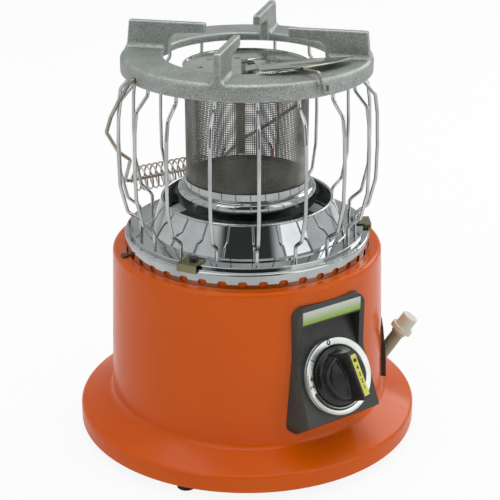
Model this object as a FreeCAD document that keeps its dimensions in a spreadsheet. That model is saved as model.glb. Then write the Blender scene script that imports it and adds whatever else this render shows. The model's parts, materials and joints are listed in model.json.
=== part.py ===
import FreeCAD, Part
import math
import os
import Sketcher
from FreeCAD import Placement, Rotation, Vector

# Table-top gas heater with a cooking ring. Millimetres, +Z up, the floor at z = 0 under the feet.
# Azimuths are counted in degrees from the front (-Y), positive towards the right (+X).

SIZES = {
    # pressed shell
    "shell_wall": 1.0,
    "flange_radius": 135.0,
    "flange_bottom": 8.0,
    "hem_radius": 114.0,
    "flange_height": 13.0,
    "waist_radius": 109.2,
    "waist_height": 32.0,
    "shoulder_radius": 104.8,
    "shell_top": 153.8,
    "waist_fillet": 5.0,
    "flange_fillet": 3.0,
    "shoulder_fillet": 3.6,
    # base plate and feet
    "plate_wall": 1.0,
    "air_hole_radius": 20.0,
    "foot_radius": 7.0,
    "foot_circle": 121.0,
    "foot_azimuth": -22.0,
    "foot_screw_radius": 2.0,
    # vented collar
    "collar_radius": 95.2,
    "collar_wall": 0.8,
    "collar_top": 165.0,
    "collar_flange_radius": 101.0,
    "collar_ledge_radius": 89.5,
    "slot_count": 40,
    "slot_height": 156.9,
    "slot_length": 6.9,
    "slot_width": 4.6,
    "slot_turn": -1.8,
    "collar_screw_azimuth": -70.0,
    "collar_screw_radius": 1.8,
    # stepped ring, reflector and heat shield
    "step_rise": 2.8,
    "step_radius": 90.6,
    "step_inner_radius": 73.0,
    "cone_wall": 0.8,
    "cone_foot_radius": 75.0,
    "cone_rim_radius": 65.6,
    "cone_rim_height": 191.3,
    "cone_rim_roll": 1.1,
    "cone_flange_radius": 79.0,
    "shield_radius": 84.0,
    "shield_drop": 6.0,
    # cage
    "wire_count": 18,
    "wire_azimuth": 5.0,
    "wire_radius": 1.35,
    "wire_foot_radius": 83.6,
    "wire_belly_radius": 98.6,
    "wire_bend": 5.0,
    "clip_azimuth": -27.0,
    "clip_wall": 1.0,
    "clip_width": 16.0,
    "clip_length": 15.0,
    "clip_screw_radius": 1.8,
    # pot ring
    "ring_outer_radius": 94.1,
    "ring_inner_radius": 62.5,
    "ring_top": 304.2,
    "ring_rim_height": 12.7,
    "ring_plate": 6.5,
    "ring_rim_width": 6.0,
    "fin_azimuth": -13.0,
    "fin_top": 324.5,
    "fin_width": 6.0,
    "fin_root_radius": 62.0,
    "fin_tip_radius": 31.5,
    "fin_arm_depth": 9.0,
    "fin_lean": 3.2,
    # burner
    "bowl_radius": 53.3,
    "bowl_bottom": 189.0,
    "bowl_wall": 0.8,
    "mesh_radius": 46.8,
    "mesh_wall": 0.8,
    "mesh_top": 293.6,
    "seam_azimuth": 186.0,
    "seam_width": 6.0,
    "mixer_radius": 11.0,
    "mixer_bottom": 98.0,
    "head_radius": 40.0,
    "jet_radius": 3.0,
    # top disc and lid
    "disc_wall": 1.2,
    "disc_overhang": 0.6,
    "lid_azimuth": 32.0,
    "lid_hinge_radius": 9.0,
    "lid_hinge_height": 299.2,
    "lid_root_side": 5.4,
    "lid_root": 9.0,
    "lid_neck_side": 11.0,
    "lid_neck": 25.0,
    "lid_right_side": 48.4,
    "lid_right": 58.3,
    "lid_left_side": 27.0,
    "lid_left": 52.0,
    "lid_bow_side": 9.0,
    "lid_bow": 67.5,
    "lid_slope": 7.2,
    "lid_wall": 1.0,
    "lid_flange": 5.6,
    "lid_flange_reach": 48.0,
    "lid_pin_radius": 1.0,
    "lever_radius": 1.1,
    # bail
    "bail_azimuth": -58.0,
    "bail_radius": 1.5,
    "bail_height": 295.6,
    "bail_rest_angle": 45.0,
    "bail_half_width": 97.6,
    "bail_knee": 74.0,
    "bail_reach": 171.0,
    "grip_half_length": 43.0,
    "coil_radius": 10.2,
    "coil_wire": 0.7,
    "coil_turns": 12,
    # control housing
    "housing_azimuth": 35.0,
    "housing_front": 108.0,
    "housing_top": 143.0,
    "housing_bottom": 38.0,
    "housing_chin": 54.7,
    "housing_foot_half_width": 38.4,
    "housing_flare_top": 102.0,
    "housing_half_width": 32.6,
    "housing_draft": 6.0,
    "housing_wall": 2.4,
    "housing_corner": 9.0,
    "housing_screw_offset": 29.2,
    "window_half_width": 29.0,
    "window_bottom": 58.0,
    "window_top": 130.0,
    "dial_tilt": 24.0,
    "dial_depth": 114.0,
    "dial_height": 83.0,
    "recess_half_width": 26.4,
    "recess_top": 127.0,
    "label_height": 10.0,
    "label_length": 53.0,
    "label_wall": 0.6,
    "label_centre": 133.5,
    "bezel_radius": 27.7,
    "bezel_inner_radius": 23.1,
    "bezel_height": 5.0,
    # knob
    "knob_radius": 22.2,
    "knob_skirt": 1.4,
    "knob_crown_radius": 17.6,
    "knob_crown": 18.0,
    "knob_height": 30.0,
    "knob_bar_length": 37.5,
    "knob_bar_width": 6.6,
    "knob_root_width": 11.0,
    "knob_rest_angle": 8.0,
    "knob_lift": 4.6,
    "strip_length": 31.8,
    "strip_width": 4.6,
    "strip_wall": 0.5,
    "stem_radius": 3.0,
    # valve and igniter
    "valve_radius": 11.0,
    "valve_length": 34.0,
    "valve_bore": 7.0,
    "valve_bore_depth": 20.0,
    "running_gap": 0.05,
    "bracket_wall": 1.5,
    "igniter_radius": 5.0,
    "igniter_length": 28.0,
    "lead_radius": 1.2,
    "electrode_radius": 0.9,
    "ceramic_radius": 2.8,
    "electrode_azimuth": 200.0,
    "sensor_azimuth": 160.0,
    "sensor_circle": 59.0,
    # gas inlet
    "pipe_radius": 5.0,
    "pipe_wall": 1.0,
    "pipe_rise": 57.3,
    "pipe_start_height": 36.5,
    "pipe_start_radius": 96.8,
    "pipe_length": 48.8,
    "pipe_nose": 11.0,
    "inlet_azimuth": 88.5,
    "cap_radius": 6.6,
    "cap_flange_radius": 9.0,
    "cap_length": 14.5,
    "slot_bottom": 42.0,
    "slot_rise": 40.0,
    "inlet_slot_width": 14.0,
    "grommet_lip": 3.2,
    "gas_tube_radius": 2.5,
    # clearances
    "gap": 0.3,
}

doc = FreeCAD.newDocument("heater")
sheet = doc.addObject("Spreadsheet::Sheet", "sizes")
for row, (alias, number) in enumerate(SIZES.items(), start=1):
    sheet.set("A%d" % row, alias)
    sheet.set("B%d" % row, str(number))
    sheet.setAlias("B%d" % row, alias)
doc.recompute()


class Size:
    """A number together with the sheet expression that drives it."""

    def __init__(self, number, text=None):
        self.number = float(number)
        self.text = text or "%.9g" % number

    def _join(self, other, sign, number, swap=False):
        other = other if isinstance(other, Size) else Size(other)
        left, right = (other, self) if swap else (self, other)
        return Size(number(left.number, right.number), "(%s %s %s)" % (left.text, sign, right.text))

    def __add__(self, other):
        return self._join(other, "+", lambda a, b: a + b)

    def __radd__(self, other):
        return self._join(other, "+", lambda a, b: a + b, swap=True)

    def __sub__(self, other):
        return self._join(other, "-", lambda a, b: a - b)

    def __rsub__(self, other):
        return self._join(other, "-", lambda a, b: a - b, swap=True)

    def __mul__(self, other):
        return self._join(other, "*", lambda a, b: a * b)

    def __rmul__(self, other):
        return self._join(other, "*", lambda a, b: a * b, swap=True)

    def __truediv__(self, other):
        return self._join(other, "/", lambda a, b: a / b)

    def __neg__(self):
        return Size(-self.number, "(-%s)" % self.text)

    def __float__(self):
        return self.number


def size(alias):
    return Size(SIZES[alias], "sizes." + alias)


def tangent(alias):
    """The tangent of an angle of the sheet."""
    return Size(math.tan(math.radians(SIZES[alias])), "tan(sizes.%s * 1 deg)" % alias)


def bind(obj, prop, value):
    """Give a property its number and tie it to the sheet."""
    value = value if isinstance(value, Size) else Size(value)
    setattr(obj, prop, value.number)
    obj.setExpression(prop, value.text)


nodes = []


def node(obj, label):
    """Mark an object as a finished piece under its own name."""
    obj.Label = label
    nodes.append(obj)
    return obj


def new_body(name):
    return doc.addObject("PartDesign::Body", name + "_body")


def origin_plane(body, role):
    return [f for f in body.Origin.OriginFeatures if f.Role == role][0]


def sketch_on(body, role, name, offset=None):
    sketch = body.newObject("Sketcher::SketchObject", name)
    sketch.AttachmentSupport = [(origin_plane(body, role), "")]
    sketch.MapMode = "FlatFace"
    if offset is not None:
        sketch.AttachmentOffset.Base = Vector(0, 0, 0)
        bind_offset(sketch, offset)
    return sketch


def bind_offset(sketch, offset):
    """Lift a sketch off its plane along the plane's normal."""
    sketch.AttachmentOffset = Placement(Vector(0, 0, float(offset)), Rotation())
    sketch.setExpression("AttachmentOffset.Base.z", offset.text if isinstance(offset, Size) else str(offset))


def pin_point(sketch, geometry, end, x, y):
    """Fix one end of a sketch edge at a place given by sizes."""
    for kind, value in (("DistanceX", x), ("DistanceY", y)):
        value = value if isinstance(value, Size) else Size(value)
        index = sketch.addConstraint(Sketcher.Constraint(kind, -1, 1, geometry, end, value.number))
        sketch.setExpression("Constraints[%d]" % index, value.text)


def polygon(sketch, points):
    """A closed outline of straight edges through points given by sizes."""
    corners = [Vector(float(x), float(y), 0) for x, y in points]
    first = sketch.GeometryCount
    count = len(corners)
    for i in range(count):
        sketch.addGeometry(Part.LineSegment(corners[i], corners[(i + 1) % count]), False)
    for i in range(count):
        sketch.addConstraint(Sketcher.Constraint("Coincident", first + i, 2, first + (i + 1) % count, 1))
    for i, (x, y) in enumerate(points):
        pin_point(sketch, first + i, 1, x, y)


def ring(sketch, x, y, radius):
    """A circle with its centre and radius given by sizes."""
    radius = radius if isinstance(radius, Size) else Size(radius)
    index = sketch.addGeometry(Part.Circle(Vector(float(x), float(y), 0), Vector(0, 0, 1), float(radius)), False)
    pin_point(sketch, index, 3, x, y)
    at = sketch.addConstraint(Sketcher.Constraint("Radius", index, radius.number))
    sketch.setExpression("Constraints[%d]" % at, radius.text)


def stadium(sketch, x, y, length, width):
    """A slot outline with round ends, lying along the sketch's X axis."""
    radius = width / 2
    half = (length - width) / 2
    left = Vector(float(x - half), float(y), 0)
    right = Vector(float(x + half), float(y), 0)
    up = Vector(0, float(radius), 0)
    first = sketch.GeometryCount
    sketch.addGeometry(Part.LineSegment(left - up, right - up), False)
    sketch.addGeometry(Part.ArcOfCircle(Part.Circle(right, Vector(0, 0, 1), float(radius)),
                                        -math.pi / 2, math.pi / 2), False)
    sketch.addGeometry(Part.LineSegment(right + up, left + up), False)
    sketch.addGeometry(Part.ArcOfCircle(Part.Circle(left, Vector(0, 0, 1), float(radius)),
                                        math.pi / 2, 3 * math.pi / 2), False)
    for here, end, there, start in ((0, 2, 1, 1), (1, 2, 2, 1), (2, 2, 3, 1), (3, 2, 0, 1)):
        sketch.addConstraint(Sketcher.Constraint("Tangent", first + here, end, first + there, start))
    pin_point(sketch, first + 1, 3, x + half, y)
    pin_point(sketch, first + 3, 3, x - half, y)
    at = sketch.addConstraint(Sketcher.Constraint("Radius", first + 1, radius.number))
    sketch.setExpression("Constraints[%d]" % at, radius.text)


def revolve(body, points, name="profile"):
    """Turn an outline of (radius, height) points about the body's own Z axis."""
    sketch = sketch_on(body, "XZ_Plane", name)
    polygon(sketch, points)
    turn = body.newObject("PartDesign::Revolution", name + "_turned")
    turn.Profile = sketch
    turn.ReferenceAxis = (sketch, ["V_Axis"])
    turn.Angle = 360
    sketch.Visibility = False
    doc.recompute()
    return turn


def circle_edges(shape, wanted):
    """Names of the full-circle edges that have the wanted (radius, height) pairs."""
    found = []
    for index, edge in enumerate(shape.Edges, start=1):
        if not isinstance(edge.Curve, Part.Circle):
            continue
        for radius, height in wanted:
            if abs(edge.Curve.Radius - float(radius)) < 1e-4 and abs(edge.Curve.Center.z - float(height)) < 1e-4:
                found.append("Edge%d" % index)
    return found


def round_edges(body, edges, radius, name):
    """A fillet on named edges of the body's tip."""
    base = body.Tip
    fillet = body.newObject("PartDesign::Fillet", name)
    fillet.Base = (base, edges)
    bind(fillet, "Radius", radius)
    doc.recompute()
    if not edges or "Invalid" in fillet.State:
        raise RuntimeError("%s rounds nothing" % name)
    return fillet


def turned(label, points, rounds=()):
    """A whole piece turned from one outline, with circle edges rounded."""
    body = new_body(label)
    revolve(body, points)
    for number, (circles, radius) in enumerate(rounds):
        round_edges(body, circle_edges(body.Shape, circles), radius, "%s_round%d" % (label, number))
    return body


def pocket(body, sketch, length=None, reverse=False, name="pocket"):
    """Cut a sketch through, or to a given length, and make sure that it really cuts."""
    before = body.Shape.Volume
    feature = body.newObject("PartDesign::Pocket", name)
    feature.Profile = sketch
    feature.Reversed = reverse
    if length is None:
        feature.Type = 1
        feature.Midplane = True
    else:
        bind(feature, "Length", length)
    sketch.Visibility = False
    doc.recompute()
    if body.Shape.Volume > before - 1e-6:
        raise RuntimeError("%s cuts nothing in %s" % (name, body.Name))
    return feature


def polar(body, feature, count, name):
    """Repeat a feature evenly about the body's Z axis."""
    before = body.Shape.Volume
    pattern = body.newObject("PartDesign::PolarPattern", name)
    pattern.Originals = [feature]
    z_axis = [f for f in body.Origin.OriginFeatures if f.Role == "Z_Axis"][0]
    pattern.Axis = (z_axis, [""])
    pattern.Angle = 360
    pattern.Occurrences = int(float(count))
    pattern.setExpression("Occurrences", count.text)
    body.Tip = pattern
    doc.recompute()
    if abs(body.Shape.Volume - before) < 1e-6:
        raise RuntimeError("%s repeats nothing" % name)
    return pattern


def about_z(azimuth):
    """The turn from the front to an azimuth."""
    return Rotation(Vector(0, 0, 1), float(azimuth))


def turn_to(obj, azimuth):
    """Turn a piece that is modelled at the front round to its azimuth."""
    obj.Placement = Placement(Vector(0, 0, 0), about_z(azimuth))
    obj.setExpression("Placement.Rotation.Angle", azimuth.text)


def seat(azimuth):
    """The frame at the front turned round to an azimuth."""
    return Placement(Vector(0, 0, 0), about_z(azimuth))


def dial_seat():
    """The frame of the dial: x along its width, y up its slope and z out of its face."""
    front = Placement(Vector(0, -SIZES["dial_depth"], SIZES["dial_height"]),
                      Rotation(Vector(1, 0, 0), 90 - SIZES["dial_tilt"]))
    return seat(size("housing_azimuth")) * front


def inlet_seat():
    """The frame of the inlet pipe: z runs out along the pipe."""
    start = Placement(Vector(0, -SIZES["pipe_start_radius"], SIZES["pipe_start_height"]),
                      Rotation(Vector(1, 0, 0), 90 - SIZES["pipe_rise"]))
    return seat(size("inlet_azimuth")) * start


def rod(radius, length, frame, x=0, y=0, z=0, direction=Vector(0, 0, 1)):
    """A round bar from a point of a frame, along a direction of that frame."""
    bar = doc.addObject("Part::Cylinder", "rod")
    bind(bar, "Radius", radius)
    bind(bar, "Height", length)
    local = Placement(Vector(float(x), float(y), float(z)), Rotation(Vector(0, 0, 1), direction))
    bar.Placement = frame * local
    return bar


def box(width, depth, height, frame, x=0, y=0, z=0):
    """A block centred on x, with its depth running from y and its height from z."""
    block = doc.addObject("Part::Box", "block")
    bind(block, "Length", width)
    bind(block, "Width", depth)
    bind(block, "Height", height)
    local = Placement(Vector(float(x) - block.Length.Value / 2, float(y), float(z)), Rotation())
    block.Placement = frame * local
    return block


def group(parts, name="group"):
    """Several solids side by side as one object."""
    made = doc.addObject("Part::Compound", name)
    made.Links = parts
    return made


def join(parts, name="joined"):
    """Several solids made into one object, whether they touch or not."""
    made = doc.addObject("Part::MultiFuse", name)
    made.Shapes = parts
    return made


def cut(base, tools, name="cut"):
    """Take tools away from a base, and make sure that they really cut."""
    made = doc.addObject("Part::Cut", name)
    made.Base = base
    made.Tool = tools[0] if len(tools) == 1 else join(tools, name + "_tools")
    doc.recompute()
    if made.Shape.Volume > base.Shape.Volume - 1e-6:
        raise RuntimeError("a tool cuts nothing in %s" % name)
    return made


def common(first, second, name="common"):
    made = doc.addObject("Part::Common", name)
    made.Base = first
    made.Tool = second
    doc.recompute()
    return made


def shaped(label, shape):
    """A finished piece whose shape is made from points."""
    made = doc.addObject("Part::Feature", label + "_shape")
    made.Shape = shape
    return node(made, label)


def pan_screws(label, places, shank, length, head, head_height=2.0):
    """A set of equal screws; each place is a frame, a point in it and the way in which it goes."""
    parts = []
    for frame, point, way in places:
        bar = rod(shank, length, frame, point.x, point.y, point.z, way)
        back = point - way * head_height
        cap = rod(head, head_height, frame, back.x, back.y, back.z, way)
        parts.append(join([bar, cap]))
    doc.recompute()
    return node(group(parts), label)


def rounded_path(points, bends):
    """Straight edges through points, with the corners rounded."""
    edges = []
    last = points[0]
    for i in range(1, len(points) - 1):
        here = points[i]
        back = (points[i - 1] - here).normalize()
        on = (points[i + 1] - here).normalize()
        half = back.getAngle(on) / 2
        inward = (back + on).normalize()
        setback = bends[i - 1] / math.tan(half)
        centre = here + inward * (bends[i - 1] / math.sin(half))
        start = here + back * setback
        edges.append(Part.makeLine(last, start))
        edges.append(Part.Arc(start, centre - inward * bends[i - 1], here + on * setback).toShape())
        last = here + on * setback
    edges.append(Part.makeLine(last, points[-1]))
    return Part.Wire(edges)


def sweep(wire, radius, start, way):
    """A round tube along a wire."""
    ring_wire = Part.Wire(Part.makeCircle(radius, start, way))
    return wire.makePipeShell([ring_wire], True, False)


def bent_rod(points, radius, bends):
    """A bent wire of round section."""
    if not isinstance(bends, list):
        bends = [bends] * (len(points) - 2)
    return sweep(rounded_path(points, bends), radius, points[0], points[1] - points[0])


def arc_from(start, way, end):
    """The arc that leaves start along way and arrives at end, and the way in which it arrives."""
    chord = end - start
    angle = way.getAngle(chord)
    unit = Vector(chord).normalize()
    if angle < 1e-6:
        return Part.makeLine(start, end), unit
    side = way - unit * way.dot(unit)
    side.normalize()
    middle = (start + end) / 2 + side * (chord.Length / 2 * math.tan(angle / 2))
    arrive = unit * math.cos(angle) - side * math.sin(angle)
    return Part.Arc(start, middle, end).toShape(), arrive


def biarcs(points, ways):
    """Pairs of arcs that pass through points along given ways."""
    edges = []
    for i in range(len(points) - 1):
        first, last = points[i], points[i + 1]
        leave, arrive = ways[i], ways[i + 1]
        span = last - first
        total = leave + arrive
        spare = 2 * (1 - leave.dot(arrive))
        if spare < 1e-9:
            reach = span.Length / 2
        else:
            reach = (-span.dot(total) + math.sqrt(span.dot(total) ** 2 + spare * span.dot(span))) / spare
        middle = (first + last + (leave - arrive) * reach) / 2
        edge, way = arc_from(first, leave, middle)
        edges.append(edge)
        edges.append(arc_from(middle, way, last)[0])
    return edges


def turned_node(label, points, rounds=()):
    return node(turned(label, points, rounds), label)


def shell_outline(gap):
    """Outer points of the shell from its bottom edge to its shoulder, moved out by a gap."""
    return [
        (size("flange_radius") + gap, size("flange_bottom")),
        (size("flange_radius") + gap, size("flange_bottom") + size("flange_height")),
        (size("waist_radius") + gap, size("waist_height")),
        (size("shoulder_radius") + gap, size("shell_top") + gap),
    ]


def shell_screw_places():
    """Where the housing's screws pass through the shell: two above the window and two beside its foot."""
    frame = seat(size("housing_azimuth"))
    inward = Vector(0, -1, 0)
    places = []
    for side in (-1, 1):
        places.append((frame, Vector(side * 22.0, -101.3, 136.0), inward))
        places.append((frame, Vector(side * SIZES["housing_screw_offset"], -102.6, 50.0), inward))
    return places


def collar_screw_places():
    places = []
    for turn in (0, 180):
        frame = seat(size("collar_screw_azimuth") + turn)
        places.append((frame, Vector(0, -98.9, SIZES["shell_top"]), Vector(0, 0, -1)))
    return places


def foot_places():
    return [seat(size("foot_azimuth") + 90 * k) for k in range(4)]


def make_shell():
    wall = size("shell_wall")
    hem = size("hem_radius")
    outer = shell_outline(Size(0, "0"))
    points = [(hem, size("flange_bottom"))] + outer
    points += [
        (size("collar_radius") + size("gap"), size("shell_top")),
        (size("collar_radius") + size("gap"), size("shell_top") - wall),
        (size("shoulder_radius") - wall, size("shell_top") - wall),
        (size("waist_radius") - wall, size("waist_height") - 0.66 * wall),
        (size("flange_radius") - wall, size("flange_bottom") + size("flange_height") - 0.66 * wall),
        (size("flange_radius") - wall, size("flange_bottom") + wall),
        (hem, size("flange_bottom") + wall),
    ]
    rounds = [
        ([points[7]], size("shoulder_fillet") - wall),
        ([outer[3]], size("shoulder_fillet")),
        ([points[9]], size("flange_fillet") - wall),
        ([outer[1]], size("flange_fillet")),
        ([outer[2]], size("waist_fillet")),
        ([points[8]], size("waist_fillet") + wall),
    ]
    body = turned("body_shell", points, rounds)
    at_housing = seat(size("housing_azimuth"))
    window = box(size("window_half_width") * 2, 40.0, size("window_top") - size("window_bottom"),
                 at_housing, 0, -125.0, size("window_bottom"))
    at_inlet = seat(size("inlet_azimuth"))
    half = size("inlet_slot_width") / 2
    slot = box(size("inlet_slot_width"), 30.0, size("slot_rise") - half * 2, at_inlet,
               0, -120.0, size("slot_bottom") + half)
    ends = [rod(half, 30.0, at_inlet, 0, -90.0, size("slot_bottom") + lift, Vector(0, -1, 0))
            for lift in (half, size("slot_rise") - half)]
    screws = [rod(1.4, 5.4, frame, point.x, point.y, point.z, way)
              for frame, point, way in shell_screw_places()]
    collar = [rod(size("collar_screw_radius"), 4.0, frame, point.x, point.y, point.z + 2, way)
              for frame, point, way in collar_screw_places()]
    feet = [rod(size("foot_screw_radius") + 0.1, 6.0, frame, 0, -size("foot_circle"), 5.0)
            for frame in foot_places()]
    return node(cut(body, [window, slot] + ends + screws + collar + feet, "shell_cut"), "body_shell")


def make_underside():
    top = size("flange_bottom")
    disc = turned("base_plate", [
        (size("air_hole_radius"), top - size("plate_wall")),
        (size("flange_radius") - 4, top - size("plate_wall")),
        (size("flange_radius") - 4, top),
        (size("air_hole_radius"), top),
    ])
    vents = []
    for k in range(12):
        frame = seat(Size(30.0 * k))
        vents.append(rod(4.0, 6.0, frame, 0, -50.0, 5.0))
    feet = [rod(size("foot_screw_radius") + 0.1, 6.0, frame, 0, -size("foot_circle"), 5.0)
            for frame in foot_places()]
    bracket = [rod(1.5, 6.0, frame, x, -92.0, 5.0)
               for frame in [seat(size("inlet_azimuth"))] for x in (-8.0, 8.0)]
    node(cut(disc, vents + feet + bracket, "plate_cut"), "base_plate")
    sole = size("foot_radius")
    bases = []
    for frame in foot_places():
        pad = doc.addObject("Part::Cone", "foot")
        bind(pad, "Radius1", sole)
        bind(pad, "Radius2", sole - 0.6)
        bind(pad, "Height", top - size("plate_wall"))
        pad.Placement = frame * Placement(Vector(0, -SIZES["foot_circle"], 0), Rotation())
        tools = [rod(size("foot_screw_radius"), 9.0, frame, 0, -size("foot_circle"), -1.0),
                 rod(4.2, 4.5, frame, 0, -size("foot_circle"), -1.0)]
        doc.recompute()
        bases.append(cut(pad, tools, "foot_cut"))
    doc.recompute()
    node(group(bases), "rubber_feet")
    up = Vector(0, 0, 1)
    pan_screws("foot_screws", [(frame, Vector(0, -SIZES["foot_circle"], 3.5), up) for frame in foot_places()],
               size("foot_screw_radius"), 9.0, 4.0)


def make_collar():
    wall = size("collar_wall")
    radius = size("collar_radius")
    under = size("shell_top") - size("shell_wall")
    points = [
        (radius - wall, under - wall), (size("collar_flange_radius"), under - wall),
        (size("collar_flange_radius"), under), (radius, under),
        (radius, size("collar_top")), (size("collar_ledge_radius"), size("collar_top")),
        (size("collar_ledge_radius"), size("collar_top") - wall), (radius - wall, size("collar_top") - wall),
    ]
    rounds = [([points[7]], Size(1.0)), ([points[4]], Size(1.8))]
    body = turned("vent_collar", points, rounds)
    sketch = sketch_on(body, "XZ_Plane", "vent_slot")
    stadium(sketch, Size(0), size("slot_height"), size("slot_length"), size("slot_width"))
    polar(body, pocket(body, sketch, Size(110.0), True, "vent_cut"), size("slot_count"), "vent_row")
    turn_to(body, size("slot_turn"))
    doc.recompute()
    screws = [rod(size("collar_screw_radius"), 6.0, frame, point.x, point.y, point.z + 1, way)
              for frame, point, way in collar_screw_places()]
    node(cut(body, screws, "collar_cut"), "vent_collar")
    pan_screws("collar_screws", collar_screw_places(), size("collar_screw_radius"), 5.0, 3.2, 1.6)


def make_reflector():
    wall = size("cone_wall")
    top = size("collar_top") + size("step_rise")
    turned_node("guard_base_ring", [
        (size("collar_radius") - 1, size("collar_top")),
        (size("collar_radius") - 1, size("collar_top") + wall),
        (size("step_radius"), size("collar_top") + wall),
        (size("step_radius"), top),
        (size("step_inner_radius"), top),
        (size("step_inner_radius"), top - wall),
        (size("step_radius") - wall, top - wall),
        (size("step_radius") - wall, size("collar_top")),
    ], [([(size("step_radius"), top)], Size(0.7))])
    body = new_body("reflector_cone")
    revolve(body, [
        (size("cone_foot_radius") - wall, top), (size("cone_flange_radius"), top),
        (size("cone_flange_radius"), top + wall), (size("cone_foot_radius"), top + wall),
        (size("cone_rim_radius") + wall / 2, size("cone_rim_height")),
        (size("cone_rim_radius") - wall / 2, size("cone_rim_height")),
    ])
    bead = sketch_on(body, "XZ_Plane", "bead")
    ring(bead, size("cone_rim_radius"), size("cone_rim_height"), size("cone_rim_roll"))
    roll = body.newObject("PartDesign::Revolution", "bead_turned")
    roll.Profile = bead
    roll.ReferenceAxis = (bead, ["V_Axis"])
    roll.Angle = 360
    doc.recompute()
    node(body, "reflector_cone")
    lid = size("shield_radius")
    low = top - wall - size("shield_drop")
    shield = turned("heat_shield", [
        (size("mixer_radius") + size("gap"), low), (size("shield_radius") - 16, low),
        (size("shield_radius") - 10, top - wall * 2), (lid, top - wall * 2), (lid, top - wall),
        (size("shield_radius") - 10.4, top - wall), (size("shield_radius") - 16.4, low + wall),
        (size("mixer_radius") + size("gap"), low + wall),
    ])
    holes = [rod(size("ceramic_radius"), 20.0, seat(size(name)), 0, -size("sensor_circle"), 155.0)
             for name in ("electrode_azimuth", "sensor_azimuth")]
    node(cut(shield, holes, "shield_cut"), "heat_shield")


def make_cage():
    top = SIZES["collar_top"] + SIZES["step_rise"]
    belly = SIZES["wire_belly_radius"]
    under = SIZES["ring_top"] - SIZES["ring_plate"]
    outline = [
        (SIZES["wire_foot_radius"], top), (SIZES["wire_foot_radius"] + 0.4, 179.5), (93.5, 186.5),
        (belly, 208.0), (belly + 0.4, 235.0), (belly - 0.6, 260.0), (96.0, 274.0), (86.2, 285.0),
        (85.5, under),
    ]
    points = [Vector(0, -radius, height) for radius, height in outline]
    one = bent_rod(points, SIZES["wire_radius"], SIZES["wire_bend"])
    count = SIZES["wire_count"]
    wires = []
    for k in range(count):
        wire = one.copy()
        wire.rotate(Vector(0, 0, 0), Vector(0, 0, 1), SIZES["wire_azimuth"] + 360.0 / count * k)
        wires.append(wire)
    shaped("guard_wires", Part.makeCompound(wires))
    clips = []
    places = []
    for k in range(3):
        frame = seat(size("clip_azimuth") + 120 * k)
        reach = size("collar_radius") + size("gap")
        plate = box(size("clip_width"), size("clip_length"), size("clip_wall"), frame,
                    0, -reach - size("clip_wall"), top)
        leg = box(size("clip_width"), size("clip_wall"), 6.0, frame, 0, -reach - size("clip_wall"), top - 5)
        doc.recompute()
        both = join([plate, leg])
        doc.recompute()
        hole = rod(size("clip_screw_radius"), 6.0, frame, 0, -85.0, top - 2)
        doc.recompute()
        clips.append(cut(both, [hole], "clip_cut"))
        places.append((frame, Vector(0, -85.0, top + SIZES["clip_wall"]), Vector(0, 0, -1)))
    doc.recompute()
    node(group(clips), "guard_clips")
    pan_screws("clip_screws", places, size("clip_screw_radius") - 0.05, 0.9, 3.4, 1.8)


def make_pot_ring():
    outer = size("ring_outer_radius")
    under = size("ring_top") - size("ring_plate")
    rim = outer - size("ring_rim_width")
    points = [
        (size("ring_inner_radius"), under), (size("ring_inner_radius"), size("ring_top")),
        (outer, size("ring_top")), (outer, size("ring_top") - size("ring_rim_height")),
        (rim, size("ring_top") - size("ring_rim_height")), (rim, under),
    ]
    rounds = [([points[1]], Size(2.0)), ([points[2]], Size(2.0)), ([points[3]], Size(1.2)), ([points[4]], Size(1.2))]
    body = turned("pot_ring", points, rounds)
    sketch = sketch_on(body, "YZ_Plane", "fin_outline")
    root = size("fin_root_radius")
    low = size("fin_top") - size("fin_arm_depth")
    polygon(sketch, [
        (-size("fin_tip_radius"), size("fin_top")),
        (size("fin_lean") - outer, size("fin_top")),
        (1.0 - outer, size("ring_top") - 3.0),
        (-root, under + 1.0),
        (1.6 - root, under + 1.0),
        (3.4 - root, low - 3.0),
        (7.0 - root, low),
        (-size("fin_tip_radius"), low + 1.2),
    ])
    fin = body.newObject("PartDesign::Pad", "fin")
    fin.Profile = sketch
    bind(fin, "Length", size("fin_width"))
    fin.Midplane = True
    doc.recompute()
    polar(body, fin, Size(4, "4"), "fins")
    turn_to(body, size("fin_azimuth"))
    doc.recompute()
    frame = seat(size("bail_azimuth"))
    hole = rod(size("bail_radius") + 0.08, 220.0, frame, 0, 110.0, size("bail_height"), Vector(0, -1, 0))
    node(cut(body, [hole], "ring_cut"), "pot_ring")


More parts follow.
